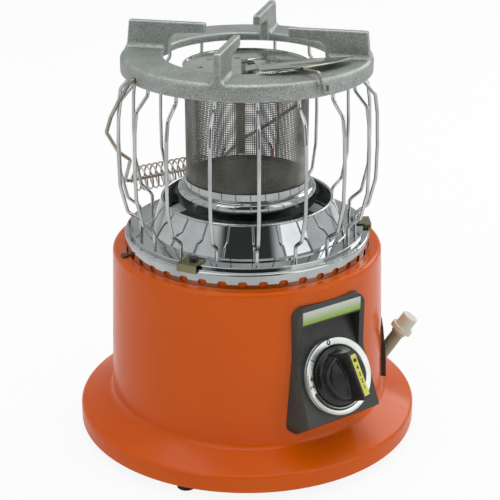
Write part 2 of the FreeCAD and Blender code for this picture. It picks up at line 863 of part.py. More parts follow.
def make_burner():
    wall = size("bowl_wall")
    low = size("bowl_bottom")
    high = low + 14.0
    side = size("bowl_radius")
    ledge = size("mesh_radius") + 0.4
    tube = size("mixer_radius")
    points = [
        (tube + 0.1, low), (side, low), (side, high), (ledge, high), (ledge, high - wall),
        (side - wall, high - wall), (side - wall, low + wall), (tube + 0.1, low + wall),
    ]
    body = turned("burner_bowl", points, [([points[5]], Size(4.2)), ([points[2]], Size(5.0)), ([points[1]], Size(1.0))])
    rivets = [seat(Size(-46.0 + 90 * k)) for k in range(4)]
    holes = [rod(1.2, 8.0, frame, 0, -48.0, low + 6, Vector(0, -1, 0)) for frame in rivets]
    node(cut(body, holes, "bowl_cut"), "burner_bowl")
    pan_screws("bowl_rivets", [(frame, Vector(0, -SIZES["bowl_radius"], 195.0), Vector(0, 1, 0)) for frame in rivets],
               1.2, 2.4, 2.2, 0.9)
    turned_node("mesh_tube", [
        (size("mesh_radius") - size("mesh_wall"), low + wall), (size("mesh_radius"), low + wall),
        (size("mesh_radius"), size("mesh_top")), (size("mesh_radius") - size("mesh_wall"), size("mesh_top")),
    ])
    turned_node("mesh_band", [
        (ledge, high), (ledge + 1.0, high), (ledge + 1.0, high + 5.4), (size("mesh_radius"), high + 5.4),
        (size("mesh_radius"), high + 4.6), (ledge, high + 4.6),
    ])
    strip = box(size("seam_width"), 0.8, 82.0, seat(size("seam_azimuth")),
                0, 0.9 - size("mesh_radius") + size("mesh_wall") - 0.8 + 0.2, 210.4)
    node(strip, "mesh_seam_strip")
    head = size("head_radius")
    crown = turned("burner_head", [
        (Size(0, "0"), high + 4), (head, high + 4), (head, high - 3), (head - 2, high - 3), (head - 2, high + 2.2),
        (tube + 2.2, high + 2.2), (tube + 2.2, high - 8), (tube, high - 8), (tube, high + 1), (Size(0, "0"), high + 1),
    ])
    ports = [rod(1.5, 10.0, seat(Size(15.0 * k)), 0, -size("head_radius") + 7, high - 2) for k in range(24)]
    ports += [rod(1.5, 10.0, seat(Size(30.0 * k)), 0, -22.0, high - 2) for k in range(12)]
    node(cut(crown, ports, "head_cut"), "burner_head")
    foot = size("mixer_bottom")
    turned_node("mixer_tube", [
        (tube - 1, high + 1), (tube, high + 1), (tube, foot + 14), (tube + 5, foot),
        (tube + 4, foot), (tube - 1, foot + 14),
    ])
    jet_seat = seat(Size(0.0))
    plate = rod(tube + 5, 3.0, jet_seat, 0, 0, foot - 14)
    posts = [rod(1.5, 11.5, seat(Size(120.0 * k + 60)), 0, -tube - 3.2, foot - 11.5) for k in range(3)]
    doc.recompute()
    carrier = join([plate] + posts)
    doc.recompute()
    hole = rod(size("jet_radius"), 20.0, jet_seat, 0, 0, foot - 20)
    doc.recompute()
    node(cut(carrier, [hole], "carrier_cut"), "jet_holder")
    turned_node("jet", [
        (Size(0.5), foot - 3), (Size(1.6), foot - 3), (size("jet_radius"), foot - 6),
        (size("jet_radius"), foot - 14), (Size(5.5), foot - 14), (Size(5.5), foot - 22),
        (size("gas_tube_radius"), foot - 22), (size("gas_tube_radius"), foot - 14), (Size(0.5), foot - 12),
    ])


def make_top():
    wall = size("disc_wall")
    high = size("mesh_top")
    edge = size("mesh_radius") + size("disc_overhang")
    rim = edge + 0.8
    disc = turned("top_disc", [
        (Size(0, "0"), high), (size("mesh_radius") + 0.2, high), (size("mesh_radius") + 0.2, high - 4), (rim, high - 4),
        (rim, high + wall + 0.6), (rim - 1.6, high + wall + 0.6), (rim - 1.6, high + wall), (Size(0, "0"), high + wall),
    ])
    frame = seat(size("lid_azimuth"))
    level = size("lid_hinge_height")
    start = size("lid_hinge_radius")
    lugs = [box(1.2, 5.0, level + 2.4 - high, frame, side * 8.4, -start - 2.5, high + 0.2) for side in (-1, 1)]
    doc.recompute()
    body = join([disc] + lugs)
    doc.recompute()
    tools = [rod(size("lid_pin_radius") + 0.08, 24.0, frame, -12.0, -start, level, Vector(1, 0, 0))]
    tools.append(rod(9.0, 8.0, frame, 0, -29.0, high - 3))
    tools.append(rod(7.0, 8.0, frame, 10.0, -33.0, high - 3))
    tools.append(rod(7.0, 8.0, frame, -10.0, -33.0, high - 3))
    tools += [rod(4.0, 8.0, seat(Size(117.0)), x, -24.0, high - 3) for x in (-7.0, -2.0, 3.0, 8.0)]
    tools += [rod(2.2, 8.0, seat(Size(azimuth)), 0, -radius, high - 3)
              for azimuth, radius in ((-117.0, 32.0), (-158.0, 20.0), (-75.0, 36.0), (-35.0, 34.0), (160.0, 36.0))]
    node(cut(body, tools, "disc_cut"), "top_disc")


def lid_corner(side, out, lift, way=1):
    """A corner of the lid plate, in the frame of its hinge."""
    return Vector(way * SIZES[side], -SIZES[out], lift)


def lid_flange(start, end, inward):
    """The edge of the lid that is turned down, as far as it stays inside the ring's hole."""
    run = end - start
    reach = SIZES["lid_flange_reach"]
    stop = start + run * ((reach - start.Length) / (end.Length - start.Length))
    first = start + run * 0.05
    inner = Vector(0, 0, 1).cross(run).normalize() * inward
    foot = Vector(0, 0, -SIZES["lid_flange"])
    outline = Part.makePolygon([first, stop, stop + inner, first + inner, first])
    return Part.Face(outline).extrude(foot)


def make_lid():
    level = size("lid_hinge_height")
    start = SIZES["lid_hinge_radius"]
    hinge = Placement(Vector(0, -start, float(level)), Rotation(Vector(1, 0, 0), -SIZES["lid_slope"]))
    frame = seat(size("lid_azimuth")) * hinge
    wall = SIZES["lid_wall"]
    lift = 0.9
    root = lid_corner("lid_root_side", "lid_root", lift)
    neck = lid_corner("lid_neck_side", "lid_neck", lift)
    right = lid_corner("lid_right_side", "lid_right", lift)
    bow = lid_corner("lid_bow_side", "lid_bow", lift)
    left = lid_corner("lid_left_side", "lid_left", lift, -1)
    left_root = lid_corner("lid_root_side", "lid_root", lift, -1)
    face = Part.Face(Part.Wire([
        Part.makeLine(root, neck), Part.makeLine(neck, right), Part.Arc(right, bow, left).toShape(),
        Part.makeLine(left, left_root), Part.makeLine(left_root, root),
    ]))
    sheet_metal = face.extrude(Vector(0, 0, wall))
    tongue = Part.makeBox(10.8, 9.2, wall, Vector(-5.4, -9.2, lift))
    knuckle = Part.makeCylinder(2.4, 10.8, Vector(-5.4, 0, 0), Vector(1, 0, 0))
    metal = sheet_metal.fuse([tongue, knuckle])
    for corner, tip, inward in ((neck, right, -1), (left_root, left, 1)):
        metal = metal.fuse(lid_flange(corner, tip, inward * wall))
    pin = Part.makeCylinder(SIZES["lid_pin_radius"], 30.0, Vector(-15, 0, 0), Vector(1, 0, 0))
    metal = metal.cut(pin).removeSplitter()
    metal.Placement = frame.multiply(metal.Placement)
    shaped("lid_plate", metal)
    axle = Part.makeCylinder(SIZES["lid_pin_radius"], 20.4, Vector(-10.2, 0, 0), Vector(1, 0, 0))
    axle.Placement = frame.multiply(axle.Placement)
    shaped("lid_hinge_pin", axle)
    gauge = SIZES["lever_radius"]
    under = lift - gauge
    lever_points = [
        Vector(0, -14.0, under), Vector(0, -85.0, under), Vector(0, -88.6, -9.0), Vector(0, -88.6, -14.5),
        Vector(4.4, -88.6, -14.5), Vector(4.4, -88.6, -9.5),
    ]
    lever = bent_rod(lever_points, gauge, [3.0, 3.0, 2.0, 2.0])
    lever.Placement = frame.multiply(lever.Placement)
    shaped("lid_lever", lever)


def bail_frame():
    """x along the bail's axis, y away from it in the plane of the bail at rest, z across."""
    axis = Vector(0, -1, 0)
    away = Vector(1, 0, 0)
    turn = about_z(size("bail_azimuth"))
    axis = turn.multVec(axis)
    away = turn.multVec(away).negative()
    drop = math.radians(SIZES["bail_rest_angle"])
    down = away * math.cos(drop) - Vector(0, 0, 1) * math.sin(drop)
    across = axis.cross(down)
    spin = FreeCAD.Matrix(axis.x, down.x, across.x, 0, axis.y, down.y, across.y, 0,
                          axis.z, down.z, across.z, SIZES["bail_height"], 0, 0, 0, 1)
    return Placement(spin)


def make_bail():
    frame = bail_frame()
    half = SIZES["bail_half_width"]
    reach = SIZES["bail_reach"]
    knee = SIZES["bail_knee"]
    grip = SIZES["grip_half_length"]
    side = [(86.4, 0), (half, 0), (half, 27), (half - 1.0, 50), (half - 5.0, knee), (70.0, 112), (53.0, 131),
            (grip + 1.5, reach)]
    points = [Vector(t, d, 0) for t, d in side] + [Vector(-t, d, 0) for t, d in reversed(side)]
    bends = [3.0, 12.0, 12.0, 14.0, 14.0, 12.0, 5.0]
    wire = bent_rod(points, SIZES["bail_radius"], bends + bends[::-1])
    head = SIZES["bail_radius"] + 0.3
    heads = [Part.makeCylinder(head, 1.2, Vector(86.0, 0, 0), Vector(1, 0, 0)),
             Part.makeCylinder(head, 1.2, Vector(-86.0, 0, 0), Vector(-1, 0, 0))]
    wire = wire.fuse(heads)
    wire.Placement = frame.multiply(wire.Placement)
    shaped("bail_wire", wire)
    make_grip(frame)


def make_grip(frame):
    """The coiled grip: a wide coil with small closing curls that hug the bail at both ends."""
    gauge = SIZES["coil_wire"]
    wide = SIZES["coil_radius"]
    small = SIZES["bail_radius"] + gauge + 0.15
    turns = SIZES["coil_turns"]
    reach = SIZES["bail_reach"]
    span = 2 * (SIZES["grip_half_length"] - 5.5)
    lead = 1.0
    steps = 4
    total = turns + 2 * lead
    points = []
    ways = []
    count = int(total * steps)

    def at(fraction):
        turn = fraction * total
        edge = min(turn, total - turn)
        grow = min(1.0, edge / lead)
        grow = grow * grow * (3 - 2 * grow)
        radius = small + (wide - small) * grow
        angle = 2 * math.pi * turn
        along = -span / 2 + span * fraction
        return Vector(along, reach + radius * math.cos(angle), radius * math.sin(angle))

    for k in range(count + 1):
        fraction = k / count
        step = 1e-5
        low = max(0.0, fraction - step)
        high = min(1.0, fraction + step)
        points.append(at(fraction))
        ways.append((at(high) - at(low)).normalize())
    edges = biarcs(points, ways)
    tail = 2 * gauge
    first = points[0] - ways[0] * tail
    last = points[-1] + ways[-1] * tail
    edges = [Part.makeLine(first, points[0])] + edges + [Part.makeLine(points[-1], last)]
    path = Part.Wire(edges)
    coil = sweep(path, gauge, first, ways[0])
    print("grip coil: least distance between turns %.2f mm" % least_gap(path, gauge, total))
    coil.Placement = frame.multiply(coil.Placement)
    shaped("grip_spring", coil)


def least_gap(path, gauge, turns):
    """The least gap of a coil to itself, from points more than half a turn apart."""
    points = path.discretize(Number=int(turns * 40))
    least = 1e9
    for i in range(len(points)):
        for j in range(i + 20, min(len(points), i + 60)):
            least = min(least, (points[i] - points[j]).Length)
    return least - 2 * gauge


def side_prism(name, outline, half_width):
    """A prism across the housing from a side outline of (outward distance, height) points."""
    body = new_body(name)
    sketch = sketch_on(body, "YZ_Plane", name + "_side")
    polygon(sketch, [(-out, high) for out, high in outline])
    pad = body.newObject("PartDesign::Pad", name + "_pad")
    pad.Profile = sketch
    bind(pad, "Length", half_width * 2)
    pad.Midplane = True
    doc.recompute()
    turn_to(body, size("housing_azimuth"))
    doc.recompute()
    return body


def dial_line(height, inset=0.0):
    """How far out the dial face lies at a height, moved in along its normal by an inset."""
    lean = tangent("dial_tilt")
    slant = Size(1 / math.cos(math.radians(SIZES["dial_tilt"])), "(1 / cos(sizes.dial_tilt * 1 deg))")
    return size("dial_depth") + (size("dial_height") - height) * lean - slant * inset


def make_housing():
    wall = size("housing_wall")
    front = size("housing_front")
    top = size("housing_top")
    bottom = size("housing_bottom")
    chin = size("housing_chin")
    inner = Size(88.0)
    block = new_body("housing_block")
    sketch = sketch_on(block, "XZ_Plane", "housing_front_view", size("waist_radius") - 17.2)
    half = size("housing_half_width")
    foot = size("housing_foot_half_width")
    flare = size("housing_flare_top")
    polygon(sketch, [(-foot, bottom), (foot, bottom), (half, flare), (half, top), (-half, top), (-half, flare)])
    pad = block.newObject("PartDesign::Pad", "housing_pad")
    pad.Profile = sketch
    bind(pad, "Length", Size(44.0))
    pad.TaperAngle = -SIZES["housing_draft"]
    pad.setExpression("TaperAngle", "-sizes.housing_draft")
    doc.recompute()
    corners = []
    for index, edge in enumerate(block.Shape.Edges, start=1):
        if len(edge.Vertexes) == 2:
            way = edge.Vertexes[1].Point - edge.Vertexes[0].Point
            if abs(way.y) > 30:
                corners.append("Edge%d" % index)
    round_edges(block, corners, size("housing_corner"), "housing_corners")
    turn_to(block, size("housing_azimuth"))
    doc.recompute()
    side = side_prism("housing_side", [
        (inner, bottom + 1.0), (Size(106.5), bottom + 1.0), (dial_line(chin), chin), (dial_line(chin + 2.6), chin + 2.6),
        (front, size("dial_height") + (size("dial_depth") - front) / tangent("dial_tilt")),
        (front, top - 3.6), (front - 2.6, top - 0.6), (inner, top - 0.6),
    ], Size(60.0))
    solid = common(block, side, "housing_solid")
    gap = size("gap")
    drum = turned("housing_drum", shell_outline(gap) + [(Size(0, "0"), size("shell_top") + gap),
                                                         (Size(0, "0"), size("flange_bottom"))])
    window = box(size("window_half_width") * 2 - gap * 2, 60.0, size("window_top") - size("window_bottom") - gap * 2,
                 seat(size("housing_azimuth")), 0, -140.0, size("window_bottom") + gap)
    doc.recompute()
    drum_cut = cut(drum, [window], "drum_cut")
    hollow = side_prism("housing_hollow", [
        (inner - 2, bottom + 4.0), (Size(104.0), bottom + 4.0), (dial_line(chin + 1.6, wall), chin + 1.6),
        (dial_line(size("recess_top") - 4, wall), size("recess_top") - 4), (inner - 2, size("recess_top") - 4),
    ], size("window_half_width") - gap - wall)
    recess_low = size("dial_height") + (size("dial_depth") - front - 1) / tangent("dial_tilt")
    recess = side_prism("housing_recess", [
        (front + 1, recess_low), (front + 1, size("recess_top")),
        (dial_line(size("recess_top") - 2), size("recess_top") - 2),
    ], size("recess_half_width"))
    stem_hole = rod(5.0, 20.0, dial_seat(), 0, 0, -10.0)
    screws = [rod(1.4, 5.4, frame, point.x, point.y, point.z, way)
              for frame, point, way in shell_screw_places()]
    studs = [rod(1.3, 6.8, dial_seat(), side_way * 17.0, 0, -7.0) for side_way in (-1, 1)]
    doc.recompute()
    node(cut(solid, [drum_cut, hollow, recess, stem_hole] + screws + studs, "housing_cut"), "control_housing")
    pan_screws("housing_screws", shell_screw_places(), 1.4, 5.4, 2.8, 1.8)
    label = box(size("label_length"), size("label_wall"), size("label_height"), seat(size("housing_azimuth")),
                0, -size("housing_front") - size("label_wall"), size("label_centre") - size("label_height") / 2)
    node(label, "label_plate")


def placed_on_dial(body):
    body.Placement = dial_seat()
    return body


def make_dial():
    bezel = turned("dial_bezel", [
        (size("bezel_inner_radius"), Size(0, "0")), (size("bezel_radius"), Size(0, "0")),
        (size("bezel_radius"), size("bezel_height")), (size("bezel_inner_radius"), size("bezel_height")),
    ], [([(size("bezel_radius"), size("bezel_height"))], Size(1.0)),
        ([(size("bezel_inner_radius"), size("bezel_height"))], Size(0.6))])
    node(placed_on_dial(bezel), "dial_bezel")
    lift = size("knob_lift")
    skirt = lift + size("knob_skirt")
    crown = size("knob_crown")
    floor = crown - 1.0
    stem = size("stem_radius")
    body = new_body("knob")
    revolve(body, [
        (stem, lift), (size("knob_radius"), lift), (size("knob_radius"), skirt), (size("knob_crown_radius"), crown),
        (Size(0, "0"), crown + 0.4), (Size(0, "0"), floor), (stem, floor),
    ])
    sketch = sketch_on(body, "XZ_Plane", "bar_outline")
    root = size("knob_root_width") / 2
    nose = size("knob_bar_width") / 2
    polygon(sketch, [(-root, floor), (root, floor), (nose + 0.9, crown + 3), (nose, size("knob_height")),
                     (-nose, size("knob_height")), (-nose - 0.9, crown + 3)])
    bar = body.newObject("PartDesign::Pad", "bar")
    bar.Profile = sketch
    bind(bar, "Length", size("knob_bar_length"))
    bar.Midplane = True
    doc.recompute()
    before = body.Shape.Volume
    bore = body.newObject("Sketcher::SketchObject", "bore_outline")
    bore.AttachmentSupport = [(origin_plane(body, "XY_Plane"), "")]
    bore.MapMode = "FlatFace"
    ring(bore, Size(0), Size(0), stem)
    doc.recompute()
    hole = body.newObject("PartDesign::Pocket", "bore")
    hole.Profile = bore
    hole.Reversed = True
    bind(hole, "Length", Size(20.0))
    doc.recompute()
    if body.Shape.Volume > before - 1:
        raise RuntimeError("the knob's bore cuts nothing")
    frame = dial_seat()
    spin = Placement(Vector(), Rotation(Vector(0, 0, 1), SIZES["knob_rest_angle"]))
    body.Placement = frame * spin
    node(body, "knob")
    strip = doc.addObject("Part::Box", "strip")
    bind(strip, "Length", size("strip_width"))
    bind(strip, "Width", size("strip_length"))
    bind(strip, "Height", size("strip_wall"))
    corner = Vector(-SIZES["strip_width"] / 2 + 0.6, -SIZES["strip_length"] / 2, SIZES["knob_height"])
    strip.Placement = frame * spin * Placement(corner, Rotation())
    node(strip, "knob_strip")
    node(rod(stem, 48.0, frame, 0, 0, -28.0), "valve_stem")


def make_valve():
    frame = dial_seat()
    base = rod(size("valve_radius"), size("valve_length"), frame, 0, 0, -size("valve_length") - 18)
    doc.recompute()
    bore = rod(size("valve_bore"), size("valve_bore_depth") + 1, frame, 0, 0, -size("valve_bore_depth") - 18)
    ports = [rod(size("gas_tube_radius"), 6.0, frame, 0, 0, -size("valve_length") - 19),
             rod(size("gas_tube_radius"), 6.0, frame, 0, -size("valve_radius") - 1, -45.0, Vector(0, 1, 0))]
    node(cut(base, [bore] + ports, "valve_cut"), "gas_valve")
    plug = rod(size("valve_bore") - size("running_gap"), size("valve_bore_depth") + 1.6, frame,
               0, 0, -size("valve_bore_depth") - 17.6)
    doc.recompute()
    hollow = rod(size("stem_radius") + size("running_gap"), 18.0, frame, 0, 0, -33.0)
    node(cut(plug, [hollow], "plug_cut"), "valve_plug")
    thick = size("bracket_wall")
    plate = box(44.0, 20.0, thick, frame, 0, -10.0, -thick - size("housing_wall"))
    legs = [box(thick, 16.0, 40.0, frame, side * (SIZES["valve_radius"] + SIZES["bracket_wall"] / 2), -8.0, -43.9)
            for side in (-1, 1)]
    doc.recompute()
    strap = join([plate] + legs)
    doc.recompute()
    holes = [rod(size("stem_radius") + 2, 12.0, frame, 0, 0, -10.0)]
    holes += [rod(1.3, 12.0, frame, side * 17.0, 0, -10.0) for side in (-1, 1)]
    node(cut(strap, holes, "strap_cut"), "valve_bracket")
    back = -float(thick) - SIZES["housing_wall"]
    pan_screws("valve_screws", [(frame, Vector(side * 17.0, 0, back), Vector(0, 0, 1)) for side in (-1, 1)],
               1.3, 3.4, 2.6, 1.6)
    node(rod(size("igniter_radius"), size("igniter_length"), frame,
             0, size("valve_radius") + size("igniter_radius"), -46.0), "piezo_igniter")


def world(frame, x, y, z):
    return frame.multVec(Vector(x, y, z))


def make_spark_and_sensor():
    frame = dial_seat()
    circle = SIZES["sensor_circle"]
    lead = SIZES["lead_radius"]
    ceramic = size("ceramic_radius")
    for name, azimuth, lead_name, tip_height in (
            ("electrode", "electrode_azimuth", "ignition_lead", 213.0),
            ("thermocouple", "sensor_azimuth", "thermocouple_lead", 217.0)):
        spot = seat(size(azimuth))
        gauge = SIZES["electrode_radius"]
        points = [world(spot, 0, -circle, 148.0), world(spot, 0, -circle, tip_height - 6),
                  world(spot, 0, -circle + 6, tip_height)]
        shaped(name, bent_rod(points, gauge, 3.0))
        sleeve = rod(ceramic - 0.05, 34.0, spot, 0, -circle, 152.0)
        doc.recompute()
        bore = rod(size("electrode_radius"), 44.0, spot, 0, -circle, 148.0)
        node(cut(sleeve, [bore], name + "_sleeve"), name + "_sleeve")
        low = world(spot, 0, -circle, 148.0)
        if name == "electrode":
            start = world(frame, 0, SIZES["valve_radius"] + SIZES["igniter_radius"], -46.0)
            behind = world(frame, 0, SIZES["valve_radius"] + SIZES["igniter_radius"], -58.0)
            route = [start, behind, Vector(-34, -20, 120), Vector(low.x, low.y, 128), low]
        else:
            start = world(frame, 6.0, 0, -52.0)
            behind = world(frame, 6.0, 0, -64.0)
            route = [start, behind, Vector(34, 10, 90), Vector(low.x, low.y, 126), low]
        shaped(lead_name, bent_rod(route, lead, 6.0))


def make_gas_way():
    frame = inlet_seat()
    pipe = size("pipe_radius")
    wall = size("pipe_wall")
    body = turned("inlet_pipe", [
        (pipe - wall, Size(0, "0")), (pipe, Size(0, "0")), (pipe, size("pipe_length") - 4),
        (pipe + 0.9, size("pipe_length") - 3.4), (pipe + 0.9, size("pipe_length") - 0.4), (pipe, size("pipe_length") - 0.4),
        (pipe, size("pipe_length") + size("pipe_nose")), (pipe - wall, size("pipe_length") + size("pipe_nose")),
    ])
    body.Placement = frame
    node(body, "inlet_pipe")
    snug = pipe + size("running_gap")
    cap_frame = frame * Placement(Vector(0, 0, SIZES["pipe_length"]), Rotation())
    cap = turned("inlet_cap", [
        (snug, Size(0, "0")), (size("cap_flange_radius"), Size(0, "0")), (size("cap_flange_radius"), Size(4.0)),
        (size("cap_radius"), Size(4.0)), (size("cap_radius"), size("cap_length")),
        (Size(0, "0"), size("cap_length")), (Size(0, "0"), size("cap_length") - 3), (snug, size("cap_length") - 3),
    ], [([(size("cap_radius"), size("cap_length"))], Size(1.2)),
        ([(size("cap_flange_radius"), Size(4.0))], Size(0.8))])
    cap.Placement = cap_frame
    node(cap, "inlet_cap")
    make_grommet(frame)
    make_inlet_bracket(frame)
    tube = SIZES["gas_tube_radius"]
    dial = dial_seat()
    inlet_low = world(frame, 0, 0, 0)
    route = [inlet_low, world(frame, 0, 0, -9.0), world(dial, 0, -42.0, -45.0),
             world(dial, 0, -SIZES["valve_radius"] + 4.9, -45.0)]
    route[2].z = max(route[2].z, 24.0)
    feed = bent_rod(route, tube, [6.0, 7.0])
    shaped("feed_tube", feed)
    rear = -SIZES["valve_length"] - 18
    foot = SIZES["mixer_bottom"]
    route = [world(dial, 0, 0, rear + 4.9), world(dial, 0, 0, rear - 13.0), Vector(0, 0, 40.0),
             Vector(0, 0, foot - 14.5)]
    shaped("gas_tube", bent_rod(route, tube, [8.0, 9.0]))


def make_grommet(pipe_frame):
    spot = seat(size("inlet_azimuth"))
    low = size("slot_bottom")
    high = low + size("slot_rise")
    body = new_body("inlet_grommet")
    sketch = sketch_on(body, "YZ_Plane", "grommet_side")
    lip = size("grommet_lip")
    waist = size("waist_radius")
    polygon(sketch, [(9.0 - waist, low - 2), (-waist - lip, low - 2), (-waist - lip + 0.6, low + 14),
                     (0.6 - waist, high + 2), (9.0 - waist, high + 2)])
    pad = body.newObject("PartDesign::Pad", "grommet_pad")
    pad.Profile = sketch
    bind(pad, "Length", size("inlet_slot_width") + 4)
    pad.Midplane = True
    doc.recompute()
    turn_to(body, size("inlet_azimuth"))
    gap = size("gap")
    drum = turned("grommet_drum", shell_outline(Size(0.02)) + [(Size(0, "0"), size("shell_top")),
                                                               (Size(0, "0"), size("flange_bottom"))])
    neck = box(size("inlet_slot_width") - gap, 40.0, size("slot_rise") - 14.0 - gap, spot, 0, -130.0, low + 7)
    doc.recompute()
    drum_cut = cut(drum, [neck], "grommet_drum_cut")
    opening = box(size("pipe_radius") * 2 + 0.8, 40.0, size("slot_rise") - 11, spot, 0, -130.0, low + 5)
    pipe_way = rod(size("pipe_radius") + 0.4, 80.0, pipe_frame, 0, 0, -5.0)
    doc.recompute()
    node(cut(body, [drum_cut, opening, pipe_way], "grommet_cut"), "inlet_grommet")


def make_inlet_bracket(pipe_frame):
    spot = seat(size("inlet_azimuth"))
    plate = box(24.0, 2.0, 44.0, spot, 0, -100.0, size("flange_bottom"))
    foot = box(24.0, 16.0, 1.5, spot, 0, -99.9, size("flange_bottom"))
    doc.recompute()
    both = join([plate, foot])
    doc.recompute()
    tools = [rod(size("pipe_radius"), 60.0, pipe_frame, 0, 0, -20.0)]
    tools += [rod(1.5, 6.0, spot, x, -92.0, 5.0) for x in (-8.0, 8.0)]
    node(cut(both, tools, "inlet_bracket_cut"), "inlet_bracket")
    floor = SIZES["flange_bottom"] - SIZES["plate_wall"]
    pan_screws("bracket_screws", [(spot, Vector(x, -92.0, floor), Vector(0, 0, 1)) for x in (-8.0, 8.0)],
               1.5, 4.0, 3.0, 1.6)


make_shell()
make_underside()
make_collar()
make_reflector()
make_cage()
make_pot_ring()
make_burner()
make_top()
make_lid()
make_bail()
make_housing()
make_dial()
make_valve()
make_spark_and_sensor()
make_gas_way()
doc.recompute()

os.makedirs("parts", exist_ok=True)
faults = [o.Name for o in doc.Objects if "Invalid" in o.State or "Error" in o.State]
for piece in nodes:
    shape = piece.Shape
    if shape.isNull() or not shape.isValid() or not shape.Solids:
        faults.append(piece.Label)
if faults:
    raise RuntimeError("faulty objects: " + ", ".join(faults))
for piece in nodes:
    piece.Shape.exportStep(os.path.join("parts", piece.Label + ".step"))
print("%d pieces written" % len(nodes))
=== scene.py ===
import bmesh
import bpy
import json
import math
from mathutils import Matrix, Vector


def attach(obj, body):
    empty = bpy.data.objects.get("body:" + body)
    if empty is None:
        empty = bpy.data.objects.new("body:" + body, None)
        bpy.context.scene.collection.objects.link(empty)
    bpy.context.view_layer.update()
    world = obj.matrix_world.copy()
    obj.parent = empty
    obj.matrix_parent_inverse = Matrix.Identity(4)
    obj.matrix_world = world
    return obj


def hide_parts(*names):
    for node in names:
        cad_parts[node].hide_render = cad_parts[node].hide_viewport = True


# Looks of the table-top gas heater. Lengths of pieces are in millimetres and become metres when
# their mesh is made; the studio is in metres.
# Azimuths are counted in degrees from the front (-Y), positive towards the right (+X).

MM = 0.001
SHARP = 38.0  # degrees between faces, above which an edge stays sharp
WELD = 1e-6  # metres
WELD_RAW = 1e-7
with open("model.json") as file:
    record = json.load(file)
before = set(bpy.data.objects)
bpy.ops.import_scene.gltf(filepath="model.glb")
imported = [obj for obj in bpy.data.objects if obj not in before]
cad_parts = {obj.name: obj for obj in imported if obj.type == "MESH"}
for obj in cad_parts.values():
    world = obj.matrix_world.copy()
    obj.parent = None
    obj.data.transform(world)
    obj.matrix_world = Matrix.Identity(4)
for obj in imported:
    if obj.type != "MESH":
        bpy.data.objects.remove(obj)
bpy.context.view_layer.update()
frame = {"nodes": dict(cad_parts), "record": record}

HOUSING_AZIMUTH = 35.0
LID_AZIMUTH = 32.0
FIN_AZIMUTH = -13.0
BAIL_AZIMUTH = -58.0
DIAL_REACH, DIAL_HEIGHT, DIAL_TIP = 114.0, 83.0, 66.0
KNOB_TURN = 8.0
HINGE_REACH, HINGE_HEIGHT, LID_SLOPE = 9.0, 299.2, -7.2
BAIL_HEIGHT = 295.6
BAIL_HOLE_RADIUS = 1.9


# Places and frames

def seat(azimuth):
    return Matrix.Rotation(math.radians(azimuth), 4, "Z")


def shift(x, y, z):
    return Matrix.Translation((x, y, z))


def tip(degrees, axis="X"):
    return Matrix.Rotation(math.radians(degrees), 4, axis)


DIAL = seat(HOUSING_AZIMUTH) @ shift(0, -DIAL_REACH, DIAL_HEIGHT) @ tip(DIAL_TIP)
LID = seat(LID_AZIMUTH) @ shift(0, -HINGE_REACH, HINGE_HEIGHT) @ tip(LID_SLOPE)


# Mesh helpers

def add_mesh(name, part, place, look, body="heater", stands_for=(), sharp=SHARP):
    """A finished piece from points and faces, in millimetres."""
    verts, faces = part
    mesh = bpy.data.meshes.new(name)
    mesh.from_pydata([tuple((place @ Vector(v)) * MM) for v in verts], [], faces)
    return dress(name, mesh, look, body, stands_for, sharp)


def dress(name, mesh, look, body="heater", stands_for=(), sharp=SHARP):
    """A mesh in metres as a piece: smooth apart from its sharp edges, with its look and body."""
    bm = bmesh.new()
    bm.from_mesh(mesh)
    bmesh.ops.remove_doubles(bm, verts=bm.verts, dist=WELD)
    bmesh.ops.recalc_face_normals(bm, faces=bm.faces)
    bm.to_mesh(mesh)
    bm.free()
    mesh.shade_smooth()
    mesh.set_sharp_from_angle(angle=math.radians(sharp))
    piece = bpy.data.objects.new(name, mesh)
    bpy.context.scene.collection.objects.link(piece)
    slot, made = look
    mesh.materials.clear()
    mesh.materials.append(made)
    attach(piece, body)
    if stands_for:
        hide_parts(*stands_for)
    return piece


def merged(parts):
    """Points and faces of several meshes as one list of each."""
    verts, faces = [], []
    for more_verts, more_faces in parts:
        start = len(verts)
        verts += more_verts
        faces += [tuple(start + i for i in face) for face in more_faces]
    return verts, faces


def moved(part, place):
    """Points and faces with the points moved by a place."""
    verts, faces = part
    return [place @ Vector(v) for v in verts], faces


def swept(centre, start, end, steps):
    """Points of the arc round a centre, from one point to another."""
    first, last = start - centre, end - centre
    turn = first.angle_signed(last)
    made = []
    for k in range(steps + 1):
        angle = -turn * k / steps
        c, s = math.cos(angle), math.sin(angle)
        made.append(centre + Vector((first.x * c - first.y * s, first.x * s + first.y * c)))
    return made


def rounded(points, steps=5):
    """A closed outline with each corner (x, y, radius) rounded."""
    made = []
    count = len(points)
    for i, (x, y, radius) in enumerate(points):
        here = Vector((x, y))
        if radius <= 0:
            made.append(here)
            continue
        back = (Vector(points[i - 1][:2]) - here).normalized()
        on = (Vector(points[(i + 1) % count][:2]) - here).normalized()
        half = back.angle(on) / 2
        reach = radius / math.tan(half)
        centre = here + (back + on).normalized() * (radius / math.sin(half))
        made += swept(centre, here + back * reach, here + on * reach, steps)
    return made


def lathe(points, steps=5, segments=192):
    """A ring turned from a closed outline of (radius, height, corner radius)."""
    outline = rounded(points, steps)
    count = len(outline)
    verts, faces = [], []
    for k in range(segments):
        angle = 2 * math.pi * k / segments
        c, s = math.cos(angle), math.sin(angle)
        verts += [Vector((max(p.x, 0) * c, max(p.x, 0) * s, p.y)) for p in outline]
    for k in range(segments):
        here, there = k * count, (k + 1) % segments * count
        for i in range(count):
            j = (i + 1) % count
            faces.append((here + i, there + i, there + j, here + j))
    return verts, faces


